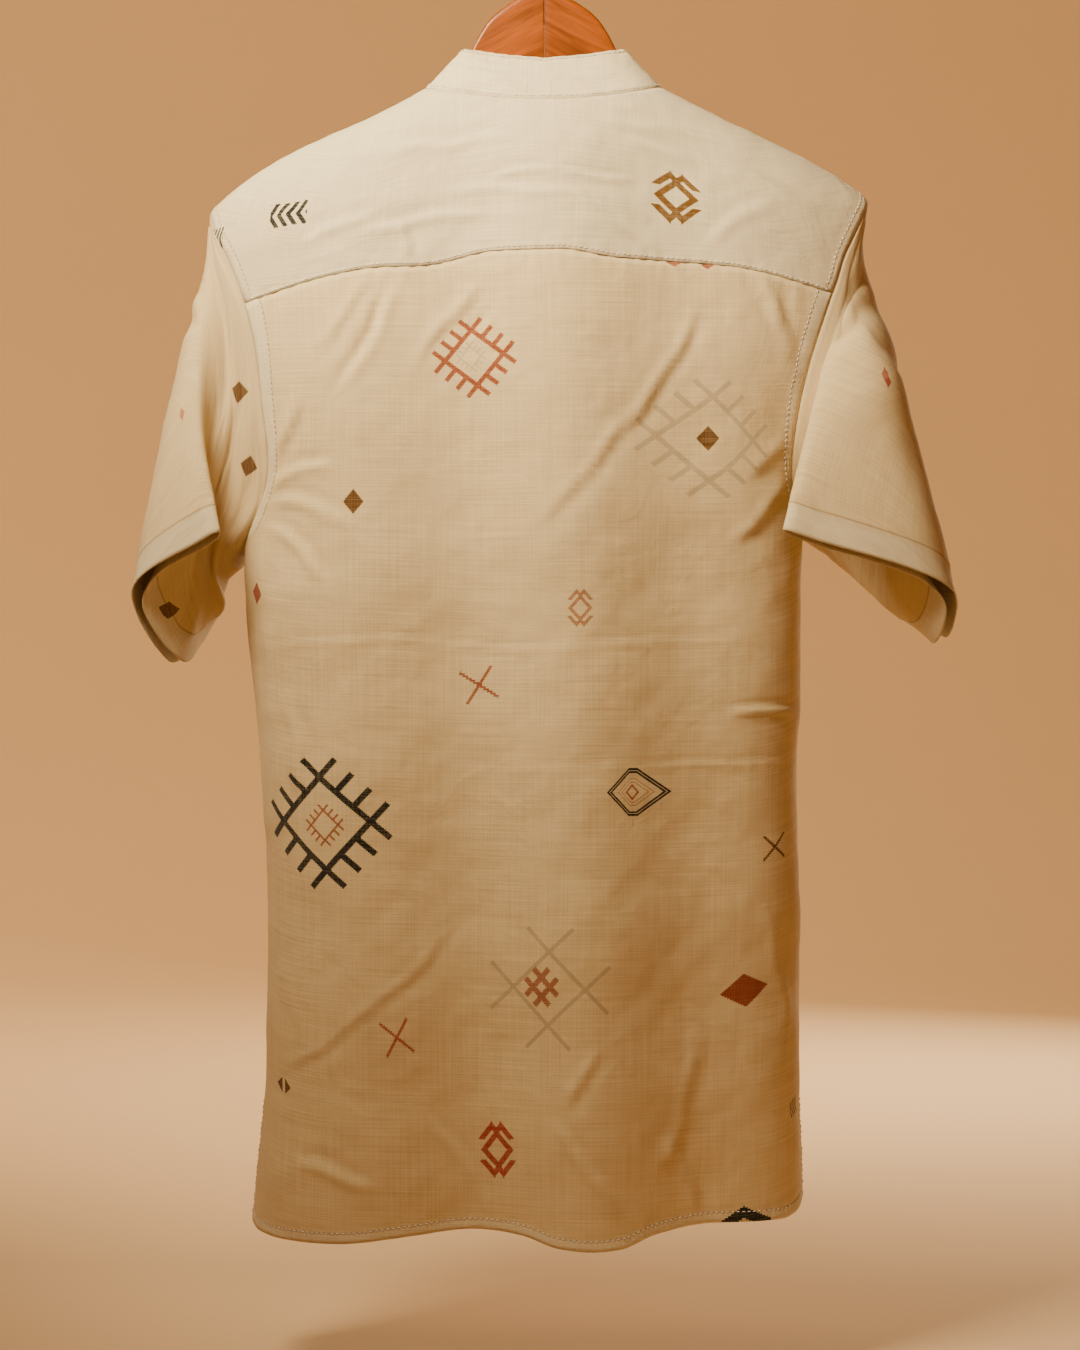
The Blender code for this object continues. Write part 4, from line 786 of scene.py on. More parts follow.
def crease_height(x, z, creases):
    """Creases laid on a flat (x, z): across a bowed line each is a bell with a shallow trough on one side.

    Along the line it grows from nothing and dies away again, and its line wanders a little.
    """
    total = np.zeros(np.broadcast(x, z).shape)
    for x0, z0, x1, z1, bow, width, height in creases:
        length = math.hypot(x1 - x0, z1 - z0)
        along = ((x - x0) * (x1 - x0) + (z - z0) * (z1 - z0)) / length**2
        aside = ((z - z0) * (x1 - x0) - (x - x0) * (z1 - z0)) / length
        inside = np.clip(along, 0, 1)
        waver = CREASE_WAVER * width * np.sin(along * length / CREASE_WAVER_LENGTH + 40 * x0)
        aside = aside - bow * 4 * inside * (1 - inside) - waver
        bell = np.exp(-((aside / width) ** 2)) - 0.5 * np.exp(-(((aside / width - 1.9) / 1.2) ** 2))
        total = total + height * bell * ease(along / CREASE_END) * ease((1 - along) / CREASE_END)
    return total


def ripples(x, z, seed, count, shortest, longest, height):
    """Sum of sine waves in seeded directions, each as high as it is long."""
    draw = np.random.default_rng(seed)
    total = np.zeros(np.broadcast(x, z).shape)
    for _ in range(count):
        wave = shortest * (longest / shortest) ** draw.random()
        turn, phase = draw.random(2) * 2 * math.pi
        reach = x * math.cos(turn) + z * math.sin(turn)
        total = total + wave / longest * np.sin(2 * math.pi * reach / wave + phase)
    return total * height / math.sqrt(count)


def seam_fade(points):
    """0 on the armhole and neck seams and the side seams, 1 from a little way off them."""
    flat = points.reshape(-1, 3)
    nearest = np.full(len(flat), 1.0)
    for knot in armhole_seams():
        nearest = np.minimum(nearest, ((flat - knot) ** 2).sum(axis=1))
    nearest = np.sqrt(nearest).reshape(points.shape[:-1])
    side = np.where(points[..., 2] < ARMHOLE_FOOT[RIGHT], np.abs(points[..., 1]), 1.0)
    return ease((nearest - 0.001) / SEAM_QUIET) * ease(side / SEAM_QUIET)


def relief(points):
    """How far creases and ripples lift the cloth off the body's surface at its points."""
    x, y, z = points[..., 0], points[..., 1], points[..., 2]
    behind = crease_height(x, z, BACK_CREASES) + ripples(x, z, 3, 9, 0.035, 0.140, RIPPLE)
    before = crease_height(x, z, FRONT_CREASES) + ripples(x, z, 4, 9, 0.035, 0.140, RIPPLE)
    fine = ripples(x + 0.3 * y, z, 5, 12, 0.008, 0.030, FINE_RIPPLE)
    over = ease(np.abs(y) / 0.020)
    return (np.where(y < 0, behind, before) * over + fine) * seam_fade(points)


def run(points, axis, from_end=False):
    """Length along a grid's rows or columns, from their start or their end."""
    step = np.linalg.norm(np.diff(points, axis=axis), axis=-1)
    zero = np.zeros_like(np.take(step, [0], axis=axis))
    length = np.concatenate([zero, np.cumsum(step, axis=axis)], axis=axis)
    return np.take(length, [-1], axis=axis) - length if from_end else length


def sewn_edge(distance, along, band, raised=0.0004):
    """Relief near a sewn edge: a doubled band, a groove where it is stitched, and puckers beside it."""
    groove = np.exp(-(((distance - band) / GROOVE_WIDTH) ** 2))
    beside = np.exp(-(((distance - band) / PUCKER_WIDTH) ** 2))
    pucker = np.sin(along / PUCKER_PITCH + 2.1 * np.sin(along / PUCKER_DRIFT)) * beside
    return raised * ease((band - distance) / 0.0012 + 0.5) - GROOVE * groove + PUCKER * pucker


def grid_faces(rows, columns, wrap=False, keep=None):
    """Quads of a grid's kept cells, and for each quad whether it closes the ring."""
    across = columns if wrap else columns - 1
    i, j = np.meshgrid(np.arange(rows - 1), np.arange(across), indexing="ij")
    i, j = (i[keep], j[keep]) if keep is not None else (i.ravel(), j.ravel())
    after = (j + 1) % columns
    this, below = i * columns, (i + 1) * columns
    return np.stack([this + j, below + j, below + after, this + after], axis=1), j == columns - 1


def tube_faces(rows, columns):
    """Quads of a tube, with each end closed by a fan of quads."""
    quads, _ = grid_faces(rows, columns, wrap=True)
    rungs = np.arange(1, columns - 1, 2)
    cap = np.stack([np.zeros_like(rungs), rungs, rungs + 1, rungs + 2], axis=1)
    return np.concatenate([quads, cap, cap[:, ::-1] + (rows - 1) * columns])


def enclosed(vertices, faces):
    """Signed volume of a closed mesh of quads: positive when its faces point outwards."""
    a, b, c, d = (vertices[faces[:, k]] for k in range(4))
    halves = np.einsum("ij,ij->i", a, np.cross(b, c)) + np.einsum("ij,ij->i", a, np.cross(c, d))
    return halves.sum() / 6


def add_object(name, vertices, faces, material, corner_uv=None, bands=None):
    """A mesh object from arrays of points and quads, turned outwards, at the origin, riding on the body."""
    if enclosed(vertices, faces) < 0:
        faces = faces[:, ::-1]
        corner_uv = None if corner_uv is None else corner_uv[:, ::-1]
    mesh = bpy.data.meshes.new(name)
    mesh.vertices.add(len(vertices))
    mesh.vertices.foreach_set("co", vertices.astype(np.float32).ravel())
    mesh.loops.add(faces.size)
    mesh.loops.foreach_set("vertex_index", faces.astype(np.int32).ravel())
    mesh.polygons.add(len(faces))
    mesh.polygons.foreach_set("loop_start", np.arange(0, faces.size, 4, dtype=np.int32))
    mesh.update(calc_edges=True)
    if corner_uv is not None:
        layer = mesh.uv_layers.new(name=CLOTH_UV)
        layer.data.foreach_set("uv", corner_uv.astype(np.float32).ravel())
    if bands is not None:
        layer = mesh.attributes.new(PAST_LINE, "FLOAT", "POINT")
        layer.data.foreach_set("value", bands.astype(np.float32).ravel())
    mesh.shade_smooth()
    mesh.validate()
    mesh.materials.append(material)
    piece = bpy.data.objects.new(name, mesh)
    bpy.context.scene.collection.objects.link(piece)
    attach(piece, BODY)
    return piece


def grid_out(points, wrap=False):
    """Outward direction of a grid of points, from its slopes along both ways."""
    if wrap:
        around = np.roll(points, -1, axis=1) - np.roll(points, 1, axis=1)
    else:
        around = np.gradient(points, axis=1)
    return unit(np.cross(around, np.gradient(points, axis=0)))


def add_cloth(name, outer, uv, thick, material, out=None, wrap=False, keep=None, bands=None):
    """A thin shell: the outer grid, the same grid moved in by its thickness, and strips along open edges."""
    rows, columns = outer.shape[:2]
    quads, closing = grid_faces(rows, columns, wrap, keep)
    flat_uv = uv.reshape(-1, 2)
    corners = flat_uv[quads]
    if wrap:
        around = run(np.concatenate([outer, outer[:, :1]], axis=1), 1)[:, -1]
        ring = np.repeat(around, columns)[quads[closing]]
        corners[closing, 2:, 0] = ring[:, 2:]
    edges = np.concatenate([quads[:, [k, (k + 1) % 4]] for k in range(4)])
    edge_uv = np.concatenate([corners[:, [k, (k + 1) % 4]] for k in range(4)])
    size = rows * columns
    forward, backward = edges[:, 0] * size + edges[:, 1], edges[:, 1] * size + edges[:, 0]
    rim = ~np.isin(forward, backward)
    a, b = edges[rim].T
    strips = np.stack([b, a, a + size, b + size], axis=1)
    strip_uv = edge_uv[rim][:, [1, 0, 0, 1]]
    faces = np.concatenate([quads, quads[:, ::-1] + size, strips])
    corner_uv = np.concatenate([corners, corners[:, ::-1], strip_uv])
    direction = grid_out(outer, wrap) if out is None else out
    if np.sum(direction * (outer - outer.mean(axis=(0, 1)))) < 0 and out is None:
        direction = -direction
    vertices = np.concatenate([outer.reshape(-1, 3), (outer - direction * thick).reshape(-1, 3)])
    used, faces = np.unique(faces, return_inverse=True)
    share = np.full(size, 0.0) if bands is None else np.broadcast_to(bands, (rows, columns)).ravel()
    past = np.tile(share, 2)[used]
    return add_object(name, vertices[used], faces.reshape(-1, 4), material, corner_uv, bands=past)


def yoke_grid(back, front):
    """Yoke's grid: fans out from the neck seam to the armholes, the back yoke seam and the front yoke seams.

    Along each line across it, x changes evenly and so does the drop below the shoulder line.
    """
    turns, ends = [], []
    for side in (LEFT, RIGHT):
        before, behind = (
            armhole(side, half, armhole_turns(side, half)[: YOKE_STEPS[half] + 1]) for half in (FRONT, BACK)
        )
        line = [np.concatenate([f[::-1], b[1:]]) for f, b in zip(before, behind)]
        order = slice(None, None, -side)
        turns.append(side * yoke_turns()[order])
        ends.append(np.array([part[order] for part in line]))
    seam = np.array([back[0][0], back[1][0] + SEAM_GAP])[:, 1:-1]
    outer_angle, outer_z = np.concatenate([ends[0], seam, ends[1]], axis=1)
    behind = np.linspace(-YOKE_NECK_CORNER, YOKE_NECK_CORNER, COLUMNS_BACK + 1)[1:-1]
    turns = np.concatenate([turns[0], behind, turns[1]])
    outer_x = body(outer_angle, outer_z)[..., 0]
    neck_x, neck_z, _ = neck(turns)
    front_x, front_z = body(*front)[0][:, 0], front[1][0] + SEAM_GAP
    side_x = {LEFT: front_x[COLUMNS_SIDE::-1], RIGHT: front_x[-COLUMNS_SIDE - 1 :]}
    side_z = {LEFT: front_z[COLUMNS_SIDE::-1], RIGHT: front_z[-COLUMNS_SIDE - 1 :]}
    shares = [(x - x[0]) / (x[-1] - x[0]) for x in (side_x[LEFT], side_x[RIGHT])]
    blend = (turns - turns[0]) / (turns[-1] - turns[0])
    share = shares[0][:, None] * (1 - blend) + shares[1][:, None] * blend
    x = neck_x + (outer_x - neck_x) * share
    neck_drop, outer_drop = shoulder_z(neck_x) - neck_z, shoulder_z(outer_x) - outer_z
    z = shoulder_z(x) - (neck_drop + (outer_drop - neck_drop) * share)
    x[:, 0], z[:, 0], x[:, -1], z[:, -1] = side_x[LEFT], side_z[LEFT], side_x[RIGHT], side_z[RIGHT]
    half = np.where(np.abs(turns) > math.pi / 2 + 1e-6, FRONT, BACK)
    angle = angle_at(x, z, half)
    on_shoulder = np.abs(np.abs(turns) - math.pi / 2) < 1e-6
    angle = np.where(on_shoulder, np.where(x < 0, -math.pi, 0.0), angle)
    angle[-1, 1:-1], z[-1, 1:-1] = outer_angle[1:-1], outer_z[1:-1]
    return angle, z, turns


def line_inset(points, directions, distance, axis, from_end=False):
    """The line that runs a fixed distance inside a grid's edge, with the outward directions along it."""
    length = run(points, axis, from_end)
    if axis == 0:
        points, directions, length = points.swapaxes(0, 1), directions.swapaxes(0, 1), length.T
    order = slice(None, None, -1) if from_end else slice(None)
    line = np.empty((len(points), 6))
    for place, (row, out, reach) in enumerate(zip(points, directions, length)):
        both = np.concatenate([row, out], axis=1)[order]
        line[place] = [np.interp(distance, reach[order], both[:, k]) for k in range(6)]
    return line[:, :3], unit(line[:, 3:])


def sample(at, reach, values):
    """The values of a line's points at these lengths along it."""
    return np.stack([np.interp(at, reach, part) for part in values.T], axis=1)


def add_stitches(name, lines, material, pitch=STITCH_PITCH, length=STITCH_LENGTH):
    """Stitches along lines: each is a short bar, six sided and tapered at both ends, arched off the cloth."""
    stations, turns = np.linspace(-1, 1, 6), np.linspace(0, 2 * math.pi, 6, endpoint=False)
    places, alongs, outs = [], [], []
    for points, out in lines:
        reach = run(points, 0)
        at = np.arange(pitch / 2, reach[-1], pitch)
        places.append(sample(at, reach, points))
        alongs.append(unit(sample(at + STITCH_STEP, reach, points) - sample(at - STITCH_STEP, reach, points)))
        outs.append(unit(sample(at, reach, out)))
    place, along, out = (np.concatenate(part) for part in (places, alongs, outs))
    across = unit(np.cross(along, out))
    size = STITCH_RADIUS * np.sqrt(np.clip(1.02 - stations**2, 0, 1))
    arch = out[:, None] * (STITCH_RADIUS * (0.9 - 1.1 * stations**2))[:, None]
    middle = place[:, None] + along[:, None] * (stations * length / 2)[:, None] + arch
    ring = np.cos(turns)[:, None] * across[:, None, None] + np.sin(turns)[:, None] * out[:, None, None]
    points = middle[:, :, None] + ring * size[:, None, None]
    count, rows, columns = points.shape[:3]
    quads, _ = grid_faces(rows, columns, wrap=True)
    cap = [[0, 1, 2, 3], [0, 3, 4, 5]]
    caps = np.array([c[::-1] for c in cap] + [[k + (rows - 1) * columns for k in c] for c in cap])
    one = np.concatenate([quads[:, ::-1], caps[:, ::-1]])
    faces = (np.arange(count)[:, None, None] * rows * columns + one).reshape(-1, 4)
    return add_object(name, points.reshape(-1, 3), faces, material)


def edge_distances(points):
    """Lengths from a panel's left, right and lower edges, and down its columns."""
    return run(points, 1), run(points, 1, True), run(points, 0, True), run(points, 0)


def cut_line(line, keep):
    """The kept part of a stitch line: its points and its outward directions."""
    return line[0][keep], line[1][keep]


def past_line(distance, band):
    """Millimetres from the stitch line by an edge: more than 0 towards the edge, less than 0 beyond it."""
    return np.clip((band - distance) * 1000, -12, 12)


def panel_doubling(angle, z):
    """Where a panel is doubled: along its hem, its slits and its armholes."""
    base = body(angle, z)
    left, right, hem, _ = edge_distances(base)
    height, side = base[..., 2], np.minimum(left, right)
    slit = np.where(height < SLIT_TOP, past_line(side, SLIT_BAND), -12)
    arm = np.where(height > ARMHOLE_FOOT[RIGHT], past_line(side, ARMHOLE_BAND), -12)
    return np.maximum(past_line(hem, HEM_BAND), np.maximum(slit, arm))


def panel_shape(angle, z):
    """A panel's creased outer grid with sewn edges: armhole allowance, rolled slits and the turned up hem."""
    base, out = body(angle, z), body_out(angle, z)
    left, right, hem, down = edge_distances(base)
    x, height = base[..., 0], base[..., 2]
    lift = sewn_edge(hem, x, HEM_BAND) * ease(np.minimum(left, right) / 0.004)
    for edge in (left, right):
        armhole_part = ease((height - ARMHOLE_FOOT[RIGHT] + 0.004) / 0.012)
        lift = lift + armhole_part * sewn_edge(edge, height, ARMHOLE_BAND, 0.0003) * ease(edge / 0.003)
        slit_part = ease((SLIT_TOP - height) / 0.010)
        lift = lift + slit_part * sewn_edge(edge, height, SLIT_BAND, 0.0005)
    lift = lift - 0.0002 * np.exp(-((down / 0.0045) ** 2))
    lift = lift + PUCKER * np.sin(x / 0.0016 + 1.7 * np.sin(x / 0.011)) * np.exp(-((down / 0.011) ** 2))
    points = base + out * (lift + relief(base))[..., None]
    uv = np.stack([centred_run(base), base[:1, :, 2] - down], axis=-1)
    return points, uv


def centred_run(points):
    """Length along each row of a panel, counted from the middle line x = 0."""
    length = run(points, 1)
    middle = [np.interp(0.0, row, reach) for row, reach in zip(points[..., 0], length)]
    return length - np.array(middle)[:, None]


def panel_lines(points, out):
    """Stitch lines of a panel: both armholes, the hem and the slits."""
    lines = []
    for side in (LEFT, RIGHT):
        line = line_inset(points, out, ARMHOLE_BAND, 1, side == RIGHT)
        lines.append(cut_line(line, line[0][:, 2] > ARMHOLE_FOOT[side] + 0.012))
    lines.append(cut_line(line_inset(points, out, HEM_BAND, 0, True), slice(1, -1)))
    for side in (LEFT, RIGHT):
        line = line_inset(points, out, SLIT_BAND, 1, side == RIGHT)
        height = line[0][:, 2]
        lines.append(cut_line(line, (height < SLIT_TOP) & (height > SLIT_STITCHED_TO)))
    return lines


def build_yoke_piece(back, front, material):
    """Yoke: its lower edges are turned under, so they stand a little proud, stitched just inside."""
    angle, z, turns = yoke_grid(back, front)
    base, out = body(angle, z), body_out(angle, z)
    to_outer, to_left, to_right = run(base, 0, True), run(base, 1), run(base, 1, True)
    on_seam = (np.abs(turns) < YOKE_NECK_CORNER)[None, :]
    x = base[..., 0]
    seam = sewn_edge(to_outer, x, YOKE_BAND, 0.0003) * on_seam
    arm = sewn_edge(to_outer, base[..., 2], YOKE_ARM_BAND, 0.0003) * ~on_seam * ease(to_outer / 0.003)
    lift = seam + arm + sum(sewn_edge(edge, x, YOKE_BAND, 0.0003) for edge in (to_left, to_right))
    lift = lift * ease(run(base, 0) / 0.004)
    points = base + out * (lift + relief(base))[..., None]
    middle = points.shape[1] // 2
    length = run(base, 1)
    uv = np.stack([length - length[:, middle : middle + 1], base[-1:, :, 2] + to_outer], axis=-1)
    ends = np.maximum(past_line(to_left, YOKE_BAND), past_line(to_right, YOKE_BAND))
    low = np.where(on_seam, past_line(to_outer, YOKE_BAND), past_line(to_outer, YOKE_ARM_BAND))
    piece = add_cloth("yoke_cloth", points, uv, SHELL_THICK, material, out, bands=np.maximum(ends, low))
    behind = np.abs(turns) < YOKE_NECK_CORNER
    arm_line = line_inset(points, out, YOKE_ARM_BAND, 0, True)
    lines = [cut_line(line_inset(points, out, YOKE_BAND, 0, True), behind)]
    lines += [cut_line(arm_line, ~behind & side) for side in (turns < 0, turns > 0)]
    lines += [line_inset(points, out, YOKE_BAND, 1, end) for end in (False, True)]
    return piece, points, base, uv, lines


def build_collar_piece(material):
    """Collar stand: a band from the neck seam, leaning in, creased a little, with its top edge rounded."""
    turn = np.linspace(-math.pi - COLLAR_LAP, math.pi + COLLAR_LAP, COLLAR_POINTS)
    foot, foot_out = neck_point(turn)
    size = np.abs(turn)
    keys = np.radians(column(COLLAR_TOP, COLLAR_COLUMNS, "angle"))
    top = through(keys, np.array([row[1:] for row in COLLAR_TOP], float), size)
    top[:, 0] *= np.sign(turn)
    share = np.linspace(0, 1, 19)[:, None, None]
    middle = foot + (top - foot) * share
    out = unit(np.cross(np.gradient(middle, axis=1), np.broadcast_to(top - foot, middle.shape)))
    out[0] = foot_out
    lapped = ease((size - COLLAR_LAP_START) / (math.pi - COLLAR_LAP_START))
    shift = -np.sign(turn) * COLLAR_LAP_SHIFT * lapped
    points = middle + unit(top - foot) * SEAM_GAP * (1 - share) + out * shift[:, None]
    along, up, down = run(points, 1), run(points, 0), run(points, 0, True)
    lift = sewn_edge(up, along, COLLAR_BAND, 0.0002) + sewn_edge(down, along, COLLAR_BAND, 0.0002)
    lift = lift + ripples(along, up, 8, 8, 0.012, 0.060, 0.0005) * ease(np.minimum(up, down) / 0.006)
    lift = lift - 0.0007 * np.exp(-((down / 0.0012) ** 2))
    points = points + out * lift[..., None]
    middle = COLLAR_POINTS // 2
    uv = np.stack([along - along[:, middle : middle + 1], up], axis=-1)
    bands = past_line(np.minimum(up, down), COLLAR_BAND)
    piece = add_cloth("collar_cloth", points, uv, COLLAR_THICK, material, out, bands=bands)
    lines = [line_inset(points, out, COLLAR_BAND, 0, end) for end in (False, True)]
    for angle in COLLAR_TACKS:
        place = np.argmin(np.abs(turn - math.radians(angle)))
        lines.append((points[2:9, place], out[2:9, place]))
    return piece, points, lines


def build_placket_piece(name, material, lift, half_width, foot):
    """One band of the half placket: the front's surface, lifted, with rolled edges and a box of stitches."""
    x = np.linspace(-half_width, half_width, 15)
    top = NECK_Z - NECK_DIP_FRONT * np.abs(np.cos(np.arcsin(x / NECK_HALF))) ** NECK_DIP_FRONT_POWER
    share = np.linspace(0, 1, 131)[:, None]
    z = (top - SEAM_GAP) * (1 - share) + foot * share
    angle = angle_at(np.broadcast_to(x, z.shape), z, FRONT)
    base, out = body(angle, z), body_out(angle, z)
    left, right, _, _ = edge_distances(base)
    edges = sum(sewn_edge(e, base[..., 2], PLACKET_BAND, 0.0002) for e in (left, right))
    edges = edges - 0.0005 * sum(np.exp(-((e / 0.0009) ** 2)) for e in (left, right))
    points = base + out * (relief(base) + lift + edges)[..., None]
    uv = np.stack([centred_run(base), base[..., 2]], axis=-1)
    bands = past_line(np.minimum(left, right), PLACKET_BAND)
    piece = add_cloth(name, points, uv, SHELL_THICK, material, out, bands=bands)
    lines = [line_inset(points, out, PLACKET_BAND, 1, end) for end in (False, True)]
    for distance in PLACKET_BOX:
        lines.append(cut_line(line_inset(points, out, distance, 0, True), slice(2, -2)))
    return piece, points, lines


def build_sleeve_piece(name, side, material):
    """Sleeve: a flattened tube from the armhole seam to its hem, folded as it hangs, creased along it."""
    places = np.linspace(0, 1, SLEEVE_ROWS + 1)
    layers, outs, starts = [], [], []
    for half in (BACK, FRONT):
        turns = armhole_turns(side, half)
        cut = slice(None) if half == BACK else slice(-2, 0, -1)
        layers.append(sleeve_layer(side, half, turns, places)[:, cut])
        outs.append(body_out(*armhole(side, half, turns))[cut])
        near = ease((turns - ARMPIT_TURN) / ARMPIT_SPAN)
        starts.append(near[cut])
    points = np.concatenate(layers, axis=1)
    seam_out, near_armpit = np.concatenate(outs), np.concatenate(starts)[:, None]
    around = np.roll(points, -1, axis=1) - np.roll(points, 1, axis=1)
    out = unit(np.cross(np.gradient(points, axis=0), around)) * side
    fade = (1 - ease(places / ARMPIT_LIFT_END))[:, None, None] * ease(places / 0.07)[:, None, None]
    points = points + seam_out * ARMPIT_LIFT * near_armpit * fade
    begin = ease(1 - places / 0.07)[:, None, None]
    out = unit(out * (1 - begin) + seam_out * begin)
    closed = np.concatenate([points, points[:, :1]], axis=1)
    along_ring, down, to_hem = run(closed, 1)[:, :-1], run(points, 0), run(points, 0, True)
    ring = run(closed, 1)[:, -1:]
    middle = np.minimum(along_ring, ring - along_ring)
    quiet = ease(down / 0.012) * ease(middle / 0.010)
    height = crease_height(along_ring, -down, SLEEVE_CREASES[side])
    height = height + ripples(along_ring, down, 20 + side, 9, 0.030, 0.120, RIPPLE)
    height = (height + ripples(along_ring, down, 30 + side, 12, 0.008, 0.028, FINE_RIPPLE)) * quiet
    height = height + sewn_edge(to_hem, along_ring, SLEEVE_BAND, 0.0004)
    points = points + out * height[..., None]
    points[0] += unit(points[1] - points[0]) * SLEEVE_START
    uv = np.stack([along_ring, -down], axis=-1)
    bands = past_line(to_hem, SLEEVE_BAND)
    piece = add_cloth(name, points, uv, SHELL_THICK, material, out, wrap=True, bands=bands)
    ringed = np.concatenate([points, points[:, :1]], axis=1)
    ringed_out = np.concatenate([out, out[:, :1]], axis=1)
    lines = [line_inset(ringed, ringed_out, SLEEVE_BAND, 0, True)]
    return piece, points, uv, lines


def put(tree, kind, settings=None, **inputs):
    """Adds a node, sets its own settings, and feeds its inputs from values or from other nodes' sockets."""
    made = tree.nodes.new(kind)
    for key, value in (settings or {}).items():
        setattr(made, key, value)
    for key, value in inputs.items():
        socket = made.inputs[int(key[1:]) if key[0] == "i" and key[1:].isdigit() else key.replace("_", " ")]
        if isinstance(value, bpy.types.NodeSocket):
            tree.links.new(value, socket)
        else:
            socket.default_value = value
    return made


def calc(tree, operation, first, second=0.0, third=0.0, clamp=False):
    """One arithmetic step on values or sockets."""
    settings = {"operation": operation, "use_clamp": clamp}
    made = put(tree, "ShaderNodeMath", settings, i0=first, i1=second, i2=third)
    return made.outputs[0]


def noise(tree, place, scale, detail, distortion=0.0, roughness=0.5, dimensions="3D"):
    """Fractal noise at a place, about 0.5."""
    inputs = {"Scale": scale, "Detail": detail, "Roughness": roughness, "Distortion": distortion}
    made = put(tree, "ShaderNodeTexNoise", {"noise_dimensions": dimensions}, Vector=place, **inputs)
    return made.outputs[0]


def on_object(tree):
    """Coordinates on the object itself."""
    return put(tree, "ShaderNodeTexCoord").outputs["Object"]


def scaled(tree, vector, by):
    """A vector stretched along each axis."""
    return put(tree, "ShaderNodeVectorMath", {"operation": "MULTIPLY"}, i0=vector, i1=by).outputs[0]


def blend_value(tree, first, much, second, more):
    """The sum of two values, each by its own weight."""
    return calc(tree, "ADD", calc(tree, "MULTIPLY", first, much), calc(tree, "MULTIPLY", second, more))


def linear(tree, value, gain, plus, clamp=False):
    """value * gain + plus."""
    return calc(tree, "ADD", calc(tree, "MULTIPLY", value, gain), plus, clamp=clamp)


def above_level(tree, value, level, gain):
    """(value - level) * gain, kept between 0 and 1."""
    return calc(tree, "MULTIPLY", calc(tree, "SUBTRACT", value, level), gain, clamp=True)


def shade(colour, by):
    """A colour made darker or lighter, with no part above 1."""
    return tuple(min(part * by, 1) for part in colour)


def blend_colour(tree, share, first, second, kind="MIX"):
    """Mixes two colours, or multiplies or screens the second over the first, by a share."""
    made = put(tree, "ShaderNodeMix", {"data_type": "RGBA", "blend_type": kind, "clamp_factor": True})
    for place, value in ((0, share), (6, first), (7, second)):
        if isinstance(value, bpy.types.NodeSocket):
            tree.links.new(value, made.inputs[place])
        else:
            made.inputs[place].default_value = value if place == 0 else (*value, 1)
    return made.outputs[2]


def new_group(name, inputs, outputs):
    """An empty node group with named sockets: (tree, its input node, its output node)."""
    tree = bpy.data.node_groups.new(name, "ShaderNodeTree")
    kinds = {"value": "NodeSocketFloat", "vector": "NodeSocketVector", "colour": "NodeSocketColor"}
    for label, kind, default in inputs:
        socket = tree.interface.new_socket(label, in_out="INPUT", socket_type=kinds[kind])
        socket.default_value = default
    for label, kind in outputs:
        tree.interface.new_socket(label, in_out="OUTPUT", socket_type=kinds[kind])
    return tree, tree.nodes.new("NodeGroupInput"), tree.nodes.new("NodeGroupOutput")


def use_group(tree, group, **inputs):
    """A node that holds a group, with its inputs fed."""
    return put(tree, "ShaderNodeGroup", {"node_tree": group}, **inputs)


def slub_weave():
    """Plain weave of slub yarn: fine threads both ways, with thicker places along each, and small neps."""
    inputs = (("Place", "vector", (0, 0, 0)), ("Slub", "value", 0.5), ("Thread pitch", "value", 0.0006))
    outputs = (("Streak", "value"), ("Height", "value"), ("Nep", "value"))
    tree, start, end = new_group("Slub weave", inputs, outputs)
    place, pitch = start.outputs["Place"], start.outputs["Thread pitch"]
    stretches = (14, 1100, 1), (900, 12, 1)
    streaks = [noise(tree, scaled(tree, place, by), 1.0, 2.0, dimensions="2D") for by in stretches]
    joined = blend_value(tree, streaks[0], 0.6, streaks[1], 0.4)
    centred = calc(tree, "MULTIPLY", calc(tree, "SUBTRACT", joined, 0.5), start.outputs["Slub"])
    tree.links.new(calc(tree, "ADD", centred, 0.5), end.inputs["Streak"])
    apart = put(tree, "ShaderNodeSeparateXYZ", i0=place)
    waves = []
    for axis in (0, 1):
        turns = calc(tree, "DIVIDE", apart.outputs[axis], pitch)
        waves.append(calc(tree, "SINE", calc(tree, "MULTIPLY", turns, 2 * math.pi)))
    weave = calc(tree, "MULTIPLY", calc(tree, "MULTIPLY", waves[0], waves[1]), 0.25)
    tree.links.new(calc(tree, "ADD", weave, joined), end.inputs["Height"])
    dots = put(tree, "ShaderNodeTexVoronoi", {"feature": "F1"}, Vector=place, Scale=38.0, Randomness=1.0)
    tree.links.new(calc(tree, "LESS_THAN", dots.outputs["Distance"], 0.020), end.inputs["Nep"])
    return tree


def rumple():
    """Fine crumpling of washed cotton: soft hollows with thin lines where the cloth has been folded."""
    inputs = (("Place", "vector", (0, 0, 0)), ("Scale", "value", 26.0))
    tree, start, end = new_group("Rumple", inputs, (("Height", "value"),))
    place, scale = start.outputs["Place"], start.outputs["Scale"]
    soft = noise(tree, place, scale, 3.0, 0.4)
    sharp = noise(tree, place, calc(tree, "MULTIPLY", scale, 0.55), 1.0)
    line = calc(tree, "ABSOLUTE", calc(tree, "SUBTRACT", sharp, 0.5))
    line = calc(tree, "SUBTRACT", 1.0, calc(tree, "MULTIPLY", line, 26.0), clamp=True)
    patch = above_level(tree, noise(tree, place, 9.0, 1.0), 0.52, 5.0)
    line = calc(tree, "MULTIPLY", calc(tree, "POWER", line, 2.0), patch)
    tree.links.new(blend_value(tree, soft, 1.0, line, 0.09), end.inputs["Height"])
    return tree


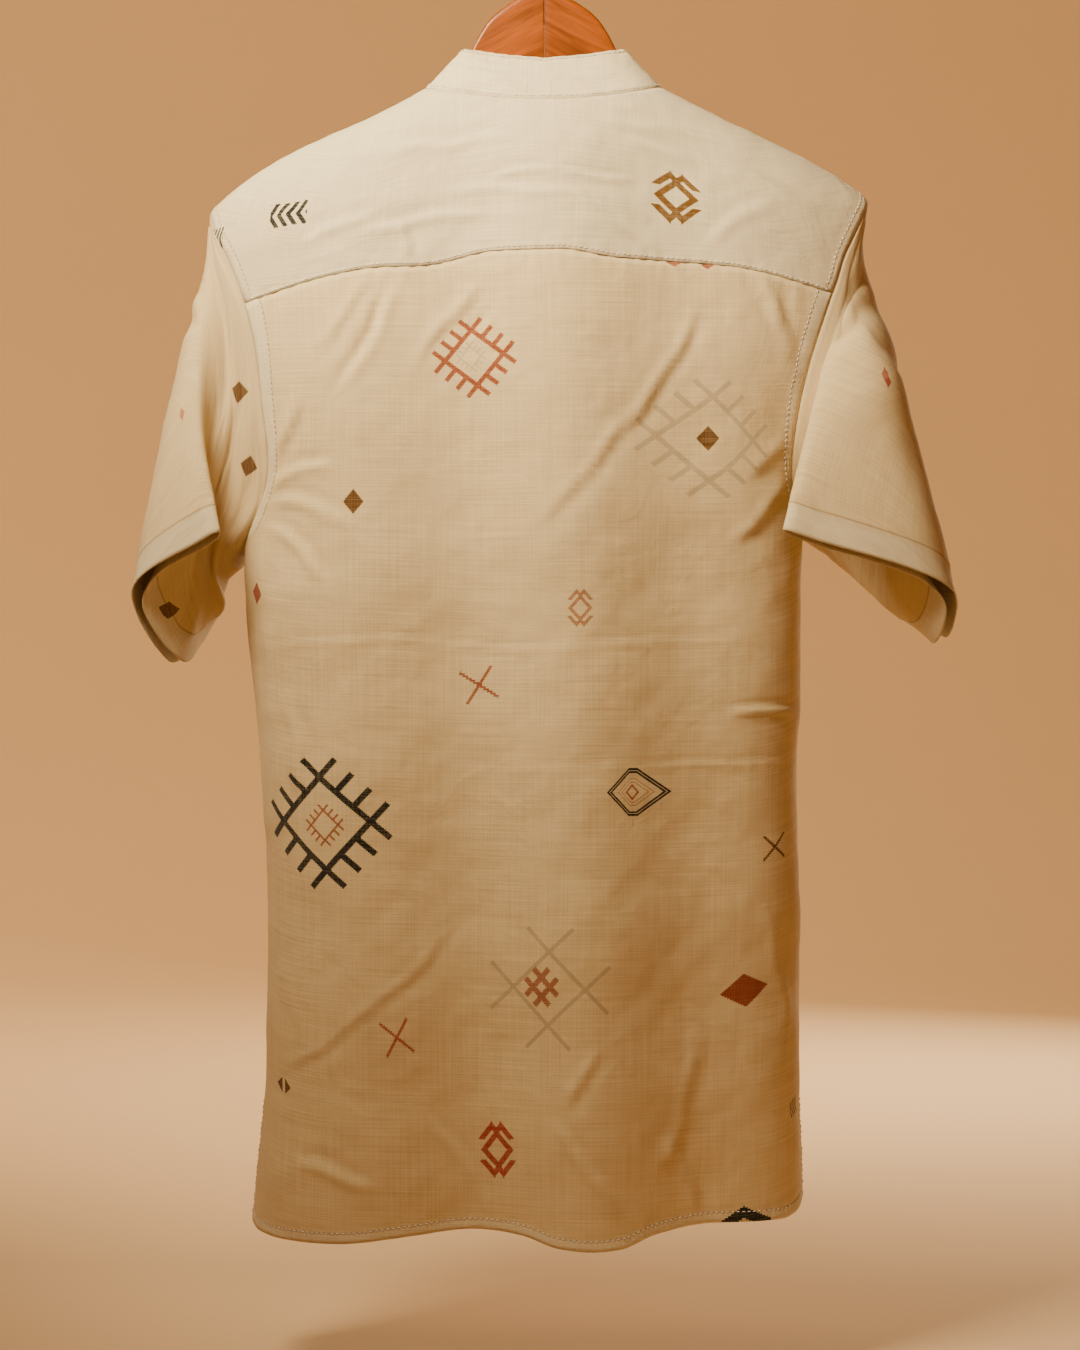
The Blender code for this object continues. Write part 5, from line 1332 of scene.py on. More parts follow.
MOTIF_INPUTS = (
    ("Place", "vector", (0, 0, 0)),
    ("Centre", "vector", (0, 0, 0)),
    ("Half size", "vector", (1, 1, 1)),
    ("Turn", "value", 0.0),
    ("Step", "value", 0.0),
)


def motif_place():
    """Where a point lies in a motif: its distances along and across the slanted sides of a unit diamond.

    Outer is the larger of the two and Inner the smaller, so that a square of sides follows from one of them.
    Steps snap the height, which gives the print its stepped edges.
    """
    outputs = (("Outer", "value"), ("Inner", "value"), ("Across", "value"), ("Up", "value"))
    tree, start, end = new_group("Motif place", MOTIF_INPUTS, outputs)
    apart = put(tree, "ShaderNodeSeparateXYZ", i0=start.outputs["Place"])
    snapped = calc(tree, "SNAP", apart.outputs[1], start.outputs["Step"])
    stepped = put(tree, "ShaderNodeCombineXYZ", i0=apart.outputs[0], i1=snapped).outputs[0]
    subtract = {"operation": "SUBTRACT"}
    moved = put(tree, "ShaderNodeVectorMath", subtract, i0=stepped, i1=start.outputs["Centre"])
    turned = put(
        tree,
        "ShaderNodeVectorRotate",
        {"rotation_type": "Z_AXIS"},
        Vector=moved.outputs[0],
        Angle=start.outputs["Turn"],
    )
    sized = put(
        tree,
        "ShaderNodeVectorMath",
        {"operation": "DIVIDE"},
        i0=turned.outputs[0],
        i1=start.outputs["Half size"],
    )
    local = put(tree, "ShaderNodeSeparateXYZ", i0=sized.outputs[0])
    one = calc(tree, "ABSOLUTE", calc(tree, "ADD", local.outputs[0], local.outputs[1]))
    other = calc(tree, "ABSOLUTE", calc(tree, "SUBTRACT", local.outputs[0], local.outputs[1]))
    tree.links.new(calc(tree, "MAXIMUM", one, other), end.inputs["Outer"])
    tree.links.new(calc(tree, "MINIMUM", one, other), end.inputs["Inner"])
    tree.links.new(local.outputs[0], end.inputs["Across"])
    tree.links.new(local.outputs[1], end.inputs["Up"])
    return tree


def both(tree, *masks):
    """1 where every mask is 1."""
    total = masks[0]
    for mask in masks[1:]:
        total = calc(tree, "MULTIPLY", total, mask)
    return total


def either(tree, *masks):
    """1 where any mask is 1."""
    total = masks[0]
    for mask in masks[1:]:
        total = calc(tree, "MAXIMUM", total, mask)
    return total


def near(tree, value, level, width):
    """1 where a value is within a width of a level."""
    return calc(tree, "COMPARE", value, level, width)


def striped(tree, value, pitch, width):
    """1 on stripes of a half width, a pitch apart, centred on whole multiples of the pitch."""
    turns = calc(tree, "DIVIDE", value, pitch)
    from_middle = calc(tree, "SUBTRACT", turns, calc(tree, "ROUND", turns))
    return calc(tree, "LESS_THAN", calc(tree, "ABSOLUTE", from_middle), calc(tree, "DIVIDE", width, pitch))


def motif_mask(tree, kind, at, line):
    """The mask of one kind of motif, from its Motif place outputs and its line's half width."""
    outer, inner, across, up = (at[label] for label in ("Outer", "Inner", "Across", "Up"))
    aside, high = calc(tree, "ABSOLUTE", across), calc(tree, "ABSOLUTE", up)

    def below(value, limit):
        return calc(tree, "LESS_THAN", value, limit)

    def above(value, limit):
        return calc(tree, "GREATER_THAN", value, limit)

    def crossed(side, reach):
        first = both(tree, near(tree, inner, side, line), below(outer, reach))
        return either(tree, first, near(tree, outer, side, line))

    def kite():
        pull = calc(tree, "SUBTRACT", 1.0, calc(tree, "MULTIPLY", above(across, 0), 0.37))
        longer = calc(tree, "MULTIPLY", aside, pull)
        return calc(tree, "MAXIMUM", calc(tree, "ADD", longer, high), calc(tree, "MULTIPLY", high, 1.16))

    if kind == "lozenge":
        return below(outer, 1.0)
    if kind == "split_lozenge":
        return both(tree, below(outer, 1.0), above(aside, 0.20))
    if kind == "comb":
        side = both(tree, near(tree, outer, 0.56, line), below(inner, 0.60))
        teeth = both(tree, near(tree, inner, 0.19, line), near(tree, outer, 0.77, 0.21))
        corners = both(tree, near(tree, inner, 0.56, line), near(tree, outer, 0.76, 0.22))
        return either(tree, side, teeth, corners)
    if kind == "hash":
        return crossed(0.33, 0.92)
    if kind == "lattice":
        return crossed(0.55, 1.25)
    if kind == "cross":
        return both(tree, below(inner, line), below(outer, 1.0))
    if kind == "rings":
        shape = kite()
        return either(tree, near(tree, shape, 0.96, line), near(tree, shape, 0.84, line))
    if kind == "fine_rings":
        shape = kite()
        return both(tree, striped(tree, shape, 0.14, line), near(tree, shape, 0.52, 0.16))
    if kind == "ring":
        return near(tree, outer, 0.80, line)
    if kind == "hooked":
        wings = both(tree, near(tree, outer, 1.02, line), above(aside, 0.16), above(high, 0.36))
        valley = both(tree, near(tree, calc(tree, "SUBTRACT", high, aside), 0.62, line), below(aside, 0.22))
        return either(tree, near(tree, outer, 0.56, line), wings, valley)
    flank = calc(tree, "MULTIPLY", high, 0.44)
    if kind == "chevrons":
        slanted = striped(tree, calc(tree, "SUBTRACT", across, flank), 0.50, line)
        return both(tree, slanted, below(high, 1.0), below(aside, 0.98))
    peak = calc(tree, "ADD", up, calc(tree, "MULTIPLY", aside, 1.2))
    return both(tree, near(tree, peak, 0.2, line), below(aside, 1.0))


def motif_groups(kinds, place_group):
    """A node group for each kind of motif, all with the same inputs and one Mask output."""
    groups = {}
    for kind in kinds:
        inputs = (*MOTIF_INPUTS, ("Line", "value", 0.06))
        tree, start, end = new_group("Motif " + kind, inputs, (("Mask", "value"),))
        sockets = {label.replace(" ", "_"): start.outputs[label] for label, _, _ in MOTIF_INPUTS}
        at = use_group(tree, place_group, **sockets).outputs
        tree.links.new(motif_mask(tree, kind, at, start.outputs["Line"]), end.inputs["Mask"])
        groups[kind] = tree
    return groups


def new_material(name, metallic=0.0, roughness=0.5):
    """A material with an empty Principled shader: (material, its tree, the shader)."""
    material = bpy.data.materials.new(name)
    material.use_nodes = True
    shader = material.node_tree.nodes["Principled BSDF"]
    shader.inputs["Metallic"].default_value = metallic
    shader.inputs["Roughness"].default_value = roughness
    return material, material.node_tree, shader


def finish_shader(tree, shader, colour, rough, height=None, distance=0.0, strength=1.0):
    """Feeds a shader its colour and roughness, and a bump where a height is given."""
    tree.links.new(colour, shader.inputs["Base Color"])
    tree.links.new(rough, shader.inputs["Roughness"])
    if height is not None:
        bump = put(tree, "ShaderNodeBump", Height=height, Distance=distance, Strength=strength)
        tree.links.new(bump.outputs[0], shader.inputs["Normal"])


def cloth_material(name, groups, motifs, finish, anchor, thick_share=0.0, lined=False):
    """Cotton: yarn streaks, neps, blotches and rumples, with the printed motifs that lie on this piece.

    One layer lets warm light through, so it looks tan. Doubled cloth looks paler and greyer: all of a lined
    piece, and the bands past the stitch lines, where the attribute is above 0. Each line has painted groove
    shade.
    """
    material, tree, shader = new_material(name, roughness=0.88)
    place = put(tree, "ShaderNodeUVMap", {"uv_map": CLOTH_UV}).outputs[0]
    weave = use_group(tree, groups["weave"], Place=place, Slub=finish.slub)
    crumple = use_group(tree, groups["rumple"], Place=place)
    # The single layer's tan is partly painted warm light that shines through it. Doubled cloth has none of
    # that painted light.
    colour, doubled = (
        blend_colour(tree, weave.outputs["Streak"], shade(base, YARN_DARK), shade(base, YARN_LIGHT))
        for base in (finish.cotton, finish.doubled)
    )
    band = put(tree, "ShaderNodeAttribute", {"attribute_name": PAST_LINE}).outputs["Fac"]
    inside = 1.0 if lined else linear(tree, band, 3.0, 0.5, clamp=True)
    colour = blend_colour(tree, inside, colour, doubled)
    # Painted shade within a millimetre of each stitch line, for the shadow in its groove.
    groove = calc(tree, "SUBTRACT", 1.0, calc(tree, "ABSOLUTE", band), clamp=True)
    colour = blend_colour(tree, calc(tree, "MULTIPLY", groove, 0.75), colour, PAINTED_GROOVE_SHADE, "MULTIPLY")
    blotch = noise(tree, place, 7.0 + 38.0 * thick_share, 4.0, roughness=0.6)
    patch = calc(tree, "MULTIPLY", above_level(tree, blotch, 0.50, 3.0), 0.22 + 0.5 * thick_share)
    colour = blend_colour(tree, patch, colour, BLOTCH_TINT, "MULTIPLY")
    colour = blend_colour(tree, calc(tree, "MULTIPLY", weave.outputs["Nep"], 0.35), colour, finish.nep)
    for kind, x, z, half_width, half_height, line, turn, step, ink, strength in motifs:
        mask = use_group(
            tree,
            groups[kind],
            Place=place,
            Centre=(*anchor(x, z), 0),
            Half_size=(half_width, half_height, 1),
            Turn=turn,
            Step=step,
            Line=line,
        ).outputs["Mask"]
        worn = calc(tree, "MULTIPLY", weave.outputs["Streak"], 0.3)
        share = calc(tree, "MULTIPLY", mask, calc(tree, "SUBTRACT", strength + 0.12, worn), clamp=True)
        colour = blend_colour(tree, share, colour, INKS[ink])
    finish_shader(tree, shader, colour, linear(tree, weave.outputs["Streak"], 0.14, 0.80))
    shader.inputs["Sheen Weight"].default_value = 0.12
    shader.inputs["Sheen Roughness"].default_value = 0.55
    shader.inputs["Specular IOR Level"].default_value = 0.20
    bumps = put(
        tree, "ShaderNodeBump", Height=crumple.outputs["Height"], Distance=0.0030, Strength=finish.rumple
    )
    yarn = put(
        tree,
        "ShaderNodeBump",
        Height=weave.outputs["Height"],
        Distance=0.00018,
        Strength=1.0,
        Normal=bumps.outputs[0],
    )
    tree.links.new(yarn.outputs[0], shader.inputs["Normal"])
    return material


def wood_material(name, base, mirrored):
    """Varnished wood: slanted grain, mirrored on the halves, with painted shade along their joint, under a
    clear coat.
    """
    material, tree, shader = new_material(name, roughness=0.38)
    where = on_object(tree)
    slant = put(tree, "ShaderNodeMapping", Vector=where, Rotation=(0, mirrored * math.radians(62), 0))
    grain = noise(tree, scaled(tree, slant.outputs[0], (260, 160, 22)), 1.0, 5.0, 0.5, 0.6)
    bands = noise(tree, scaled(tree, slant.outputs[0], (70, 40, 8)), 1.0, 2.0, 0.8)
    mix = blend_value(tree, grain, 0.55, bands, 0.45)
    colour = blend_colour(tree, above_level(tree, mix, 0.34, 2.8), shade(base, 0.45), shade(base, 1.5))
    # Painted shade: the colour darkens within about a millimetre of the joint, for the shadow in its groove,
    # and it dims the highlight there.
    from_joint = calc(tree, "ABSOLUTE", put(tree, "ShaderNodeSeparateXYZ", i0=where).outputs[0])
    painted_joint_shade = calc(tree, "SUBTRACT", 0.75, calc(tree, "MULTIPLY", from_joint, 640), clamp=True)
    colour = blend_colour(tree, painted_joint_shade, colour, shade(base, 0.15))
    finish_shader(tree, shader, colour, linear(tree, grain, 0.15, 0.28), grain, 0.0002, 0.5)
    shader.inputs["Coat Weight"].default_value = 0.12
    shader.inputs["Specular IOR Level"].default_value = 0.3
    shader.inputs["Coat Roughness"].default_value = 0.18
    return material


def wire_material(name):
    """Plated wire: bright metal with fine drawing marks and slight dulling."""
    material, tree, shader = new_material(name, metallic=1.0, roughness=0.2)
    where = on_object(tree)
    marks = noise(tree, where, 420.0, 3.0)
    colour = blend_colour(tree, marks, (0.52, 0.51, 0.50), (0.74, 0.73, 0.72))
    finish_shader(tree, shader, colour, linear(tree, marks, 0.22, 0.12), marks, 0.00005, 0.5)
    return material


def shell_material(name, base):
    """Button blank: clouded brown and cream, turned smooth."""
    material, tree, shader = new_material(name, roughness=0.3)
    where = on_object(tree)
    share = above_level(tree, noise(tree, where, 260.0, 3.0, 1.2), 0.35, 3.2)
    colour = blend_colour(tree, share, shade(base, 0.4), base)
    finish_shader(tree, shader, colour, linear(tree, share, 0.15, 0.22))
    shader.inputs["Coat Weight"].default_value = 0.3
    return material


def thread_material(name, base):
    """Sewing thread: twisted strands, a little glossier than the cloth."""
    material, tree, shader = new_material(name, roughness=0.6)
    where = on_object(tree)
    twist = noise(tree, where, 900.0, 2.0)
    colour = blend_colour(tree, twist, shade(base, 0.75), base)
    finish_shader(tree, shader, colour, linear(tree, twist, 0.2, 0.5), twist, 0.0001, 0.6)
    return material


def stage_material(name, base):
    """Matt paper: one pale tone with very faint mottling."""
    material, tree, shader = new_material(name, roughness=0.9)
    where = on_object(tree)
    colour = blend_colour(tree, noise(tree, where, 3.0, 3.0), shade(base, 0.97), base)
    tree.links.new(colour, shader.inputs["Base Color"])
    shader.inputs["Specular IOR Level"].default_value = 0.1
    return material


def build_button_piece(name, place, facing, material):
    """Round button, turned: a rounded rim and a dished face, where the thread piece lies."""
    profile = np.array(BUTTON_PROFILE)
    profile = through(np.arange(len(profile)), profile, np.linspace(0, len(profile) - 1, 25))
    turn = np.linspace(0, 2 * math.pi, 40, endpoint=False)
    facing = unit(np.asarray(facing, float))
    across = unit(np.cross(facing, (0, 0, 1)))
    other = np.cross(facing, across)
    circle = np.cos(turn)[:, None] * across + np.sin(turn)[:, None] * other
    points = place + profile[:, 1, None, None] * facing + profile[:, 0, None, None] * circle
    quads, _ = grid_faces(*points.shape[:2], wrap=True)
    rows, columns = points.shape[:2]
    half = np.arange(0, columns, 2)
    centre = np.full(len(half), rows * columns)
    top = np.stack([centre, half, (half + 1) % columns, (half + 2) % columns], axis=1)
    foot = top.copy()
    foot[:, 0] += 1
    foot[:, 1:] = foot[:, :0:-1] + (rows - 1) * columns
    poles = [place + facing * profile[end, 1] for end in (0, -1)]
    vertices = np.concatenate([points.reshape(-1, 3), poles])
    piece = add_object(name, vertices, np.concatenate([quads, top[:, ::-1], foot[:, ::-1]]), material)
    bars = []
    for shift in (-1, 1):
        middle = place + facing * BUTTON_FACE + other * BUTTON_BAR_APART * shift
        ends = [middle + across * BUTTON_BAR * end for end in (-0.5, 0.5)]
        bars.append((np.array(ends), np.array([facing, facing])))
    return piece, bars


def build_hanger_piece(name, side, material):
    """Half of the hanger: flat upright sections with rounded edges, carried from the joint to the end."""
    end = HANGER[-1][0]
    tip = end + HANGER_TIP * np.sin(np.linspace(0.2, 1.0, 6) * math.pi / 2)
    x = np.concatenate([[0.0, JOINT_RING], end * np.linspace(0, 1, 90)[1:], tip])
    shrink = np.concatenate([np.ones(91), np.cos(np.linspace(0.2, 0.97, 6) * math.pi / 2)])
    keys = column(HANGER, HANGER_COLUMNS, "x")
    inside = np.minimum(x, end)
    top, bottom = (smooth(keys, column(HANGER, HANGER_COLUMNS, n), inside) for n in ("top", "bottom"))
    middle, reach = (top + bottom) / 2, (top - bottom) / 2 * shrink
    turn = np.linspace(0, 2 * math.pi, 48, endpoint=False)
    edge = np.minimum(reach, HANGER_HALF_THICK)[:, None]
    lift = np.sin(turn)
    y = HANGER_HALF_THICK * shrink[:, None] * np.sign(np.cos(turn)) * np.abs(np.cos(turn)) ** 0.45
    z = middle[:, None] + np.sign(lift) * (reach[:, None] - edge + edge * np.abs(lift) ** 0.8)
    joint = 1 - JOINT_GROOVE * np.exp(-((x / JOINT_WIDTH) ** 2))
    y = y * joint[:, None]
    points = np.stack([np.broadcast_to(side * (x[:, None] + JOINT_HALF_GAP), y.shape), y, z], axis=-1)
    return add_object(name, points.reshape(-1, 3), tube_faces(*points.shape[:2]), material)


def build_hook_piece(name, material):
    """Wire hook: a round section carried along a straight shank and an open ring, with rounded ends."""
    ring = HOOK_INNER + WIRE_RADIUS
    turn = np.radians(np.arange(-48, 206, 11))
    arc = np.stack([ring * np.cos(turn), np.zeros(len(turn)), ring * np.sin(turn) - HOOK_INNER], axis=1)
    straight = [(0, 0, z) for z in np.linspace(SHANK_FOOT, SHANK_HEAD, 6)]
    knots = np.concatenate([np.array(straight + [(0.0022, 0, -0.0470), (0.0075, 0, -0.0395)]), arc])
    length = run(knots, 0)
    at = np.concatenate([[0.0], np.linspace(0.0004, length[-1] - 0.0004, 150), [length[-1]]])
    path = through(length, knots, at)
    short = (1 - np.minimum(at, length[-1] - at) / 0.0019).clip(0, 1)
    size = WIRE_RADIUS * np.sqrt(np.clip(1 - short**2, 0.02, 1))
    along = unit(np.gradient(path, axis=0))
    other = np.cross(along, (0, 1, 0))
    around = np.linspace(0, 2 * math.pi, 20, endpoint=False)
    circle = np.cos(around)[None, :, None] * other[:, None]
    circle = circle + np.sin(around)[None, :, None] * np.array([0, 1.0, 0])
    points = path[:, None] + circle * size[:, None, None]
    return add_object(name, points.reshape(-1, 3), tube_faces(*points.shape[:2]), material)


def build_stage(material):
    """A pale floor that curves up into a round wall: a smooth profile turned about the upright axis."""
    turn = np.linspace(0, 2 * math.pi, STAGE_SIDES, endpoint=False)
    bend = np.linspace(0, math.pi / 2, 16)
    curve = STAGE_RADIUS - STAGE_BEND + STAGE_BEND * np.sin(bend)
    radius = np.concatenate([[0.05, 1.0, 2.0], curve, [STAGE_RADIUS]])
    height = np.concatenate([[0, 0, 0], STAGE_BEND * (1 - np.cos(bend)), [STAGE_HEIGHT]]) + FLOOR_Z
    flat = radius[:, None, None] * np.stack([np.cos(turn), np.sin(turn)], axis=-1)
    points = np.concatenate([flat, np.broadcast_to(height[:, None, None], (*flat.shape[:2], 1))], axis=-1)
    quads, _ = grid_faces(*points.shape[:2], wrap=True)
    half = np.arange(0, STAGE_SIDES, 2)
    centre = np.full(len(half), len(radius) * STAGE_SIDES)
    cap = np.stack([centre, half, half + 1, (half + 2) % STAGE_SIDES], axis=1)
    mesh = bpy.data.meshes.new("floor")
    vertices = np.concatenate([points.reshape(-1, 3), [(0, 0, FLOOR_Z)]])
    mesh.from_pydata(vertices.tolist(), [], np.concatenate([quads, cap]).tolist())
    mesh.flip_normals()
    mesh.shade_smooth()
    mesh.materials.append(material)
    floor = bpy.data.objects.new("floor", mesh)
    bpy.context.scene.collection.objects.link(floor)


def add_light(name, place, target, size, spread, power, colour):
    """A soft square light that faces a target and spreads by so many degrees."""
    data = bpy.data.lights.new(name, "AREA")
    data.shape, data.size, data.energy, data.color = "SQUARE", size, power, colour
    data.spread = math.radians(spread)
    light = bpy.data.objects.new(name, data)
    light.location = place
    away = np.array(place) - np.array(target)
    light.rotation_euler = (
        math.atan2(math.hypot(away[0], away[1]), away[2]),
        0.0,
        math.atan2(away[1], away[0]) + math.pi / 2,
    )
    light.visible_camera = False
    bpy.context.scene.collection.objects.link(light)


def colour_setting(name, description, default):
    """A setting that holds a colour."""
    return FloatVectorProperty(
        name=name, description=description, subtype="COLOR", size=3, min=0, max=1, default=default
    )


class TunicCloth(bpy.types.PropertyGroup):
    """Cloth, print and sewing."""

    # The cotton colour's tan is partly the undyed cloth's own colour and partly painted warm light that
    # shines through one layer.
    cotton: colour_setting("Cotton", "Colour of the undyed cloth", (0.80, 0.62, 0.34))
    doubled: colour_setting("Doubled cotton", "Colour of double cloth", (0.82, 0.69, 0.45))
    nep: colour_setting("Nep", "Colour of the specks in the yarn", (0.42, 0.30, 0.16))
    thread: colour_setting("Thread", "Colour of the sewing thread", (0.95, 0.92, 0.84))
    slub: FloatProperty(
        name="Slub", description="Show of thick yarn", subtype="FACTOR", min=0, max=2, default=1.9
    )
    rumple: FloatProperty(
        name="Rumple", description="Strength of the crumpling", subtype="FACTOR", min=0, max=1, default=0.55
    )


class TunicHanger(bpy.types.PropertyGroup):
    """Hanger and buttons."""

    wood: colour_setting("Wood", "Middle colour of the varnished wood", (0.25, 0.055, 0.002))
    button: colour_setting("Buttons", "Light colour of the buttons", (0.62, 0.48, 0.32))


class TunicStage(bpy.types.PropertyGroup):
    """Floor, light and camera."""

    paper: colour_setting("Paper", "Colour of the floor and wall", (0.90, 0.62, 0.34))
    key: FloatProperty(name="Key light", description="Its power", subtype="POWER", min=0, default=18.0)
    fill: FloatProperty(name="Fill lights", description="Their power", subtype="POWER", min=0, default=1.6)
    camera_distance: FloatProperty(
        name="Camera distance",
        description="From the hanger's plane",
        subtype="DISTANCE",
        unit="LENGTH",
        default=2.0,
    )


def shared():
    """Node groups and the shared materials, made once."""
    if "weave" not in MADE:
        MADE["weave"], MADE["rumple"] = slub_weave(), rumple()
        kinds = sorted({row[0] for rows in MOTIFS.values() for row in rows})
        MADE.update(motif_groups(kinds, motif_place()))
        MADE["thread"] = thread_material("thread", bpy.context.scene.tunic_cloth.thread)
    return MADE


def anchored(points, uv, behind=True):
    """A function from (x, z) to the cloth's own flat place there, on the side that faces that way."""
    flat, flat_uv = points.reshape(-1, 3), uv.reshape(-1, 2)
    sign = -1 if behind else 1

    def anchor(x, z):
        away = (flat[:, 0] - x) ** 2 + (flat[:, 2] - z) ** 2
        close = away < away.min() + 0.004**2
        place = np.flatnonzero(close)[np.argmax(sign * flat[close, 1])]
        shift = np.array([x - flat[place, 0], z - flat[place, 2]])
        return flat_uv[place] + shift

    return anchor


def stand_for(node):
    """Hides the CAD node that a piece of this script stands in for."""
    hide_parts(node)


class TUNIC_OT_back(bpy.types.Operator):
    """Back panel and yoke, with their stitching."""

    bl_idname = "tunic.back"
    bl_label = "Back and yoke"

    def execute(self, context):
        groups, finish = shared(), context.scene.tunic_cloth
        back, front = back_grid(), front_grid()
        points, uv = panel_shape(*back)
        out = body_out(*back)
        anchor = anchored(points, uv)
        material = cloth_material("cotton_back", groups, MOTIFS["back"], finish, anchor)
        piece = add_cloth(
            "back_cloth", points, uv, SHELL_THICK, material, out, bands=panel_doubling(*back)
        )
        stand_for("back_panel")
        stitches = add_stitches("stitches_back", panel_lines(points, out), groups["thread"])
        yoke, _, yoke_base, yoke_uv, lines = build_yoke_piece(back, front, bpy.data.materials["cotton_back"])
        yoke.data.materials[0] = cloth_material(
            "cotton_yoke", groups, MOTIFS["yoke"], finish, anchored(yoke_base, yoke_uv), lined=True
        )
        stand_for("yoke")
        yoke_stitches = add_stitches("stitches_yoke", lines, groups["thread"])
        return {"FINISHED"}


class TUNIC_OT_front(bpy.types.Operator):
    """Front panel and half placket, with their stitching."""

    bl_idname = "tunic.front"
    bl_label = "Front and placket"

    def execute(self, context):
        groups, finish = shared(), context.scene.tunic_cloth
        angle, z = front_grid()
        points, uv = panel_shape(angle, z)
        out = body_out(angle, z)
        across = body(angle, z)[..., 0]
        middle = (across[:-1, :-1] + across[:-1, 1:]) / 2
        low = (z[1:, :-1] + z[1:, 1:]) / 2
        keep = ~((np.abs(middle) < SLOT_HALF) & (low > SLOT_FOOT))
        anchor = anchored(points, uv, False)
        material = cloth_material("cotton_front", groups, MOTIFS["front"], finish, anchor)
        piece = add_cloth(
            "front_cloth", points, uv, SHELL_THICK, material, out, keep=keep, bands=panel_doubling(angle, z)
        )
        stand_for("front_panel")
        stitches = add_stitches("stitches_front", panel_lines(points, out), groups["thread"])
        plain = cloth_material("cotton_bands", groups, (), finish, None, lined=True)
        over, over_points, lines = build_placket_piece(
            "placket_over_cloth", plain, CLOTH + SEAM_GAP, PLACKET_HALF, PLACKET_FOOT
        )
        under, under_points, _ = build_placket_piece(
            "placket_under_cloth", plain, -CLOTH - 4 * SEAM_GAP, PLACKET_HALF - 0.001, PLACKET_FOOT + 0.004
        )
        band_stitches = add_stitches("stitches_placket", lines, groups["thread"])
        for band, node, shape, sewn in (
            (over, "placket_over", over_points, [band_stitches]),
            (under, "placket_under", under_points, []),
        ):
            stand_for(node)
        return {"FINISHED"}


class TUNIC_OT_collar(bpy.types.Operator):
    """Collar stand, with its stitching."""

    bl_idname = "tunic.collar"
    bl_label = "Collar stand"

    def execute(self, context):
        groups, finish = shared(), context.scene.tunic_cloth
        material = cloth_material("cotton_collar", groups, (), finish, None, thick_share=1.0, lined=True)
        piece, points, lines = build_collar_piece(material)
        stand_for("collar_stand")
        add_stitches("stitches_collar", lines, groups["thread"])
        return {"FINISHED"}


class TUNIC_OT_sleeves(bpy.types.Operator):
    """Both sleeves, with their stitching."""

    bl_idname = "tunic.sleeves"
    bl_label = "Sleeves"

    def execute(self, context):
        groups, finish = shared(), context.scene.tunic_cloth
        for side, word in ((LEFT, "left"), (RIGHT, "right")):
            name = f"sleeve_{word}_cloth"
            piece, points, uv, lines = build_sleeve_piece(name, side, groups["thread"])
            motifs = MOTIFS["sleeve_" + word]
            piece.data.materials[0] = cloth_material(
                "cotton_sleeve_" + word, groups, motifs, finish, anchored(points, uv)
            )
            stand_for("sleeve_" + word)
            stitches = add_stitches("stitches_sleeve_" + word, lines, groups["thread"])
        return {"FINISHED"}


class TUNIC_OT_buttons(bpy.types.Operator):
    """Placket buttons and the collar button, sewn on."""

    bl_idname = "tunic.buttons"
    bl_label = "Buttons"

    def execute(self, context):
        material = shell_material("button_blank", context.scene.tunic_hanger.button)
        bars = []
        for number, z in enumerate(BUTTON_HEIGHTS, start=1):
            turn = angle_at(0.0, z, FRONT)
            out = body_out(turn, z)
            place = body(turn, z) + out * (CLOTH + 2 * SEAM_GAP)
            name = f"button_{number}"
            piece, sewn = build_button_piece(name + "_blank", place, out, material)
            stand_for(name)
            bars += sewn
        foot, _ = neck_point(np.array([-math.pi]))
        top = np.array(COLLAR_TOP[6][1:])
        out = unit(np.cross((-1.0, 0.0, 0.0), top - foot[0]))
        place = (foot[0] + top) / 2 + out * (COLLAR_LAP_SHIFT + SEAM_GAP)
        piece, sewn = build_button_piece("button_collar_blank", place, out, material)
        stand_for("button_collar")
        add_stitches("stitches_buttons", bars + sewn, shared()["thread"], BUTTON_BAR, BUTTON_BAR)
        return {"FINISHED"}


class TUNIC_OT_hanger(bpy.types.Operator):
    """Wooden hanger in two halves, and its wire hook."""

    bl_idname = "tunic.hanger"
    bl_label = "Hanger"

    def execute(self, context):
        base = context.scene.tunic_hanger.wood
        for side, word in ((LEFT, "left"), (RIGHT, "right")):
            wood = wood_material("wood_" + word, base, side)
            piece = build_hanger_piece(f"hanger_{word}_wood", side, wood)
            stand_for("hanger_" + word)
        hook = build_hook_piece("hook_wire", wire_material("hook_wire"))
        stand_for("hook")
        return {"FINISHED"}


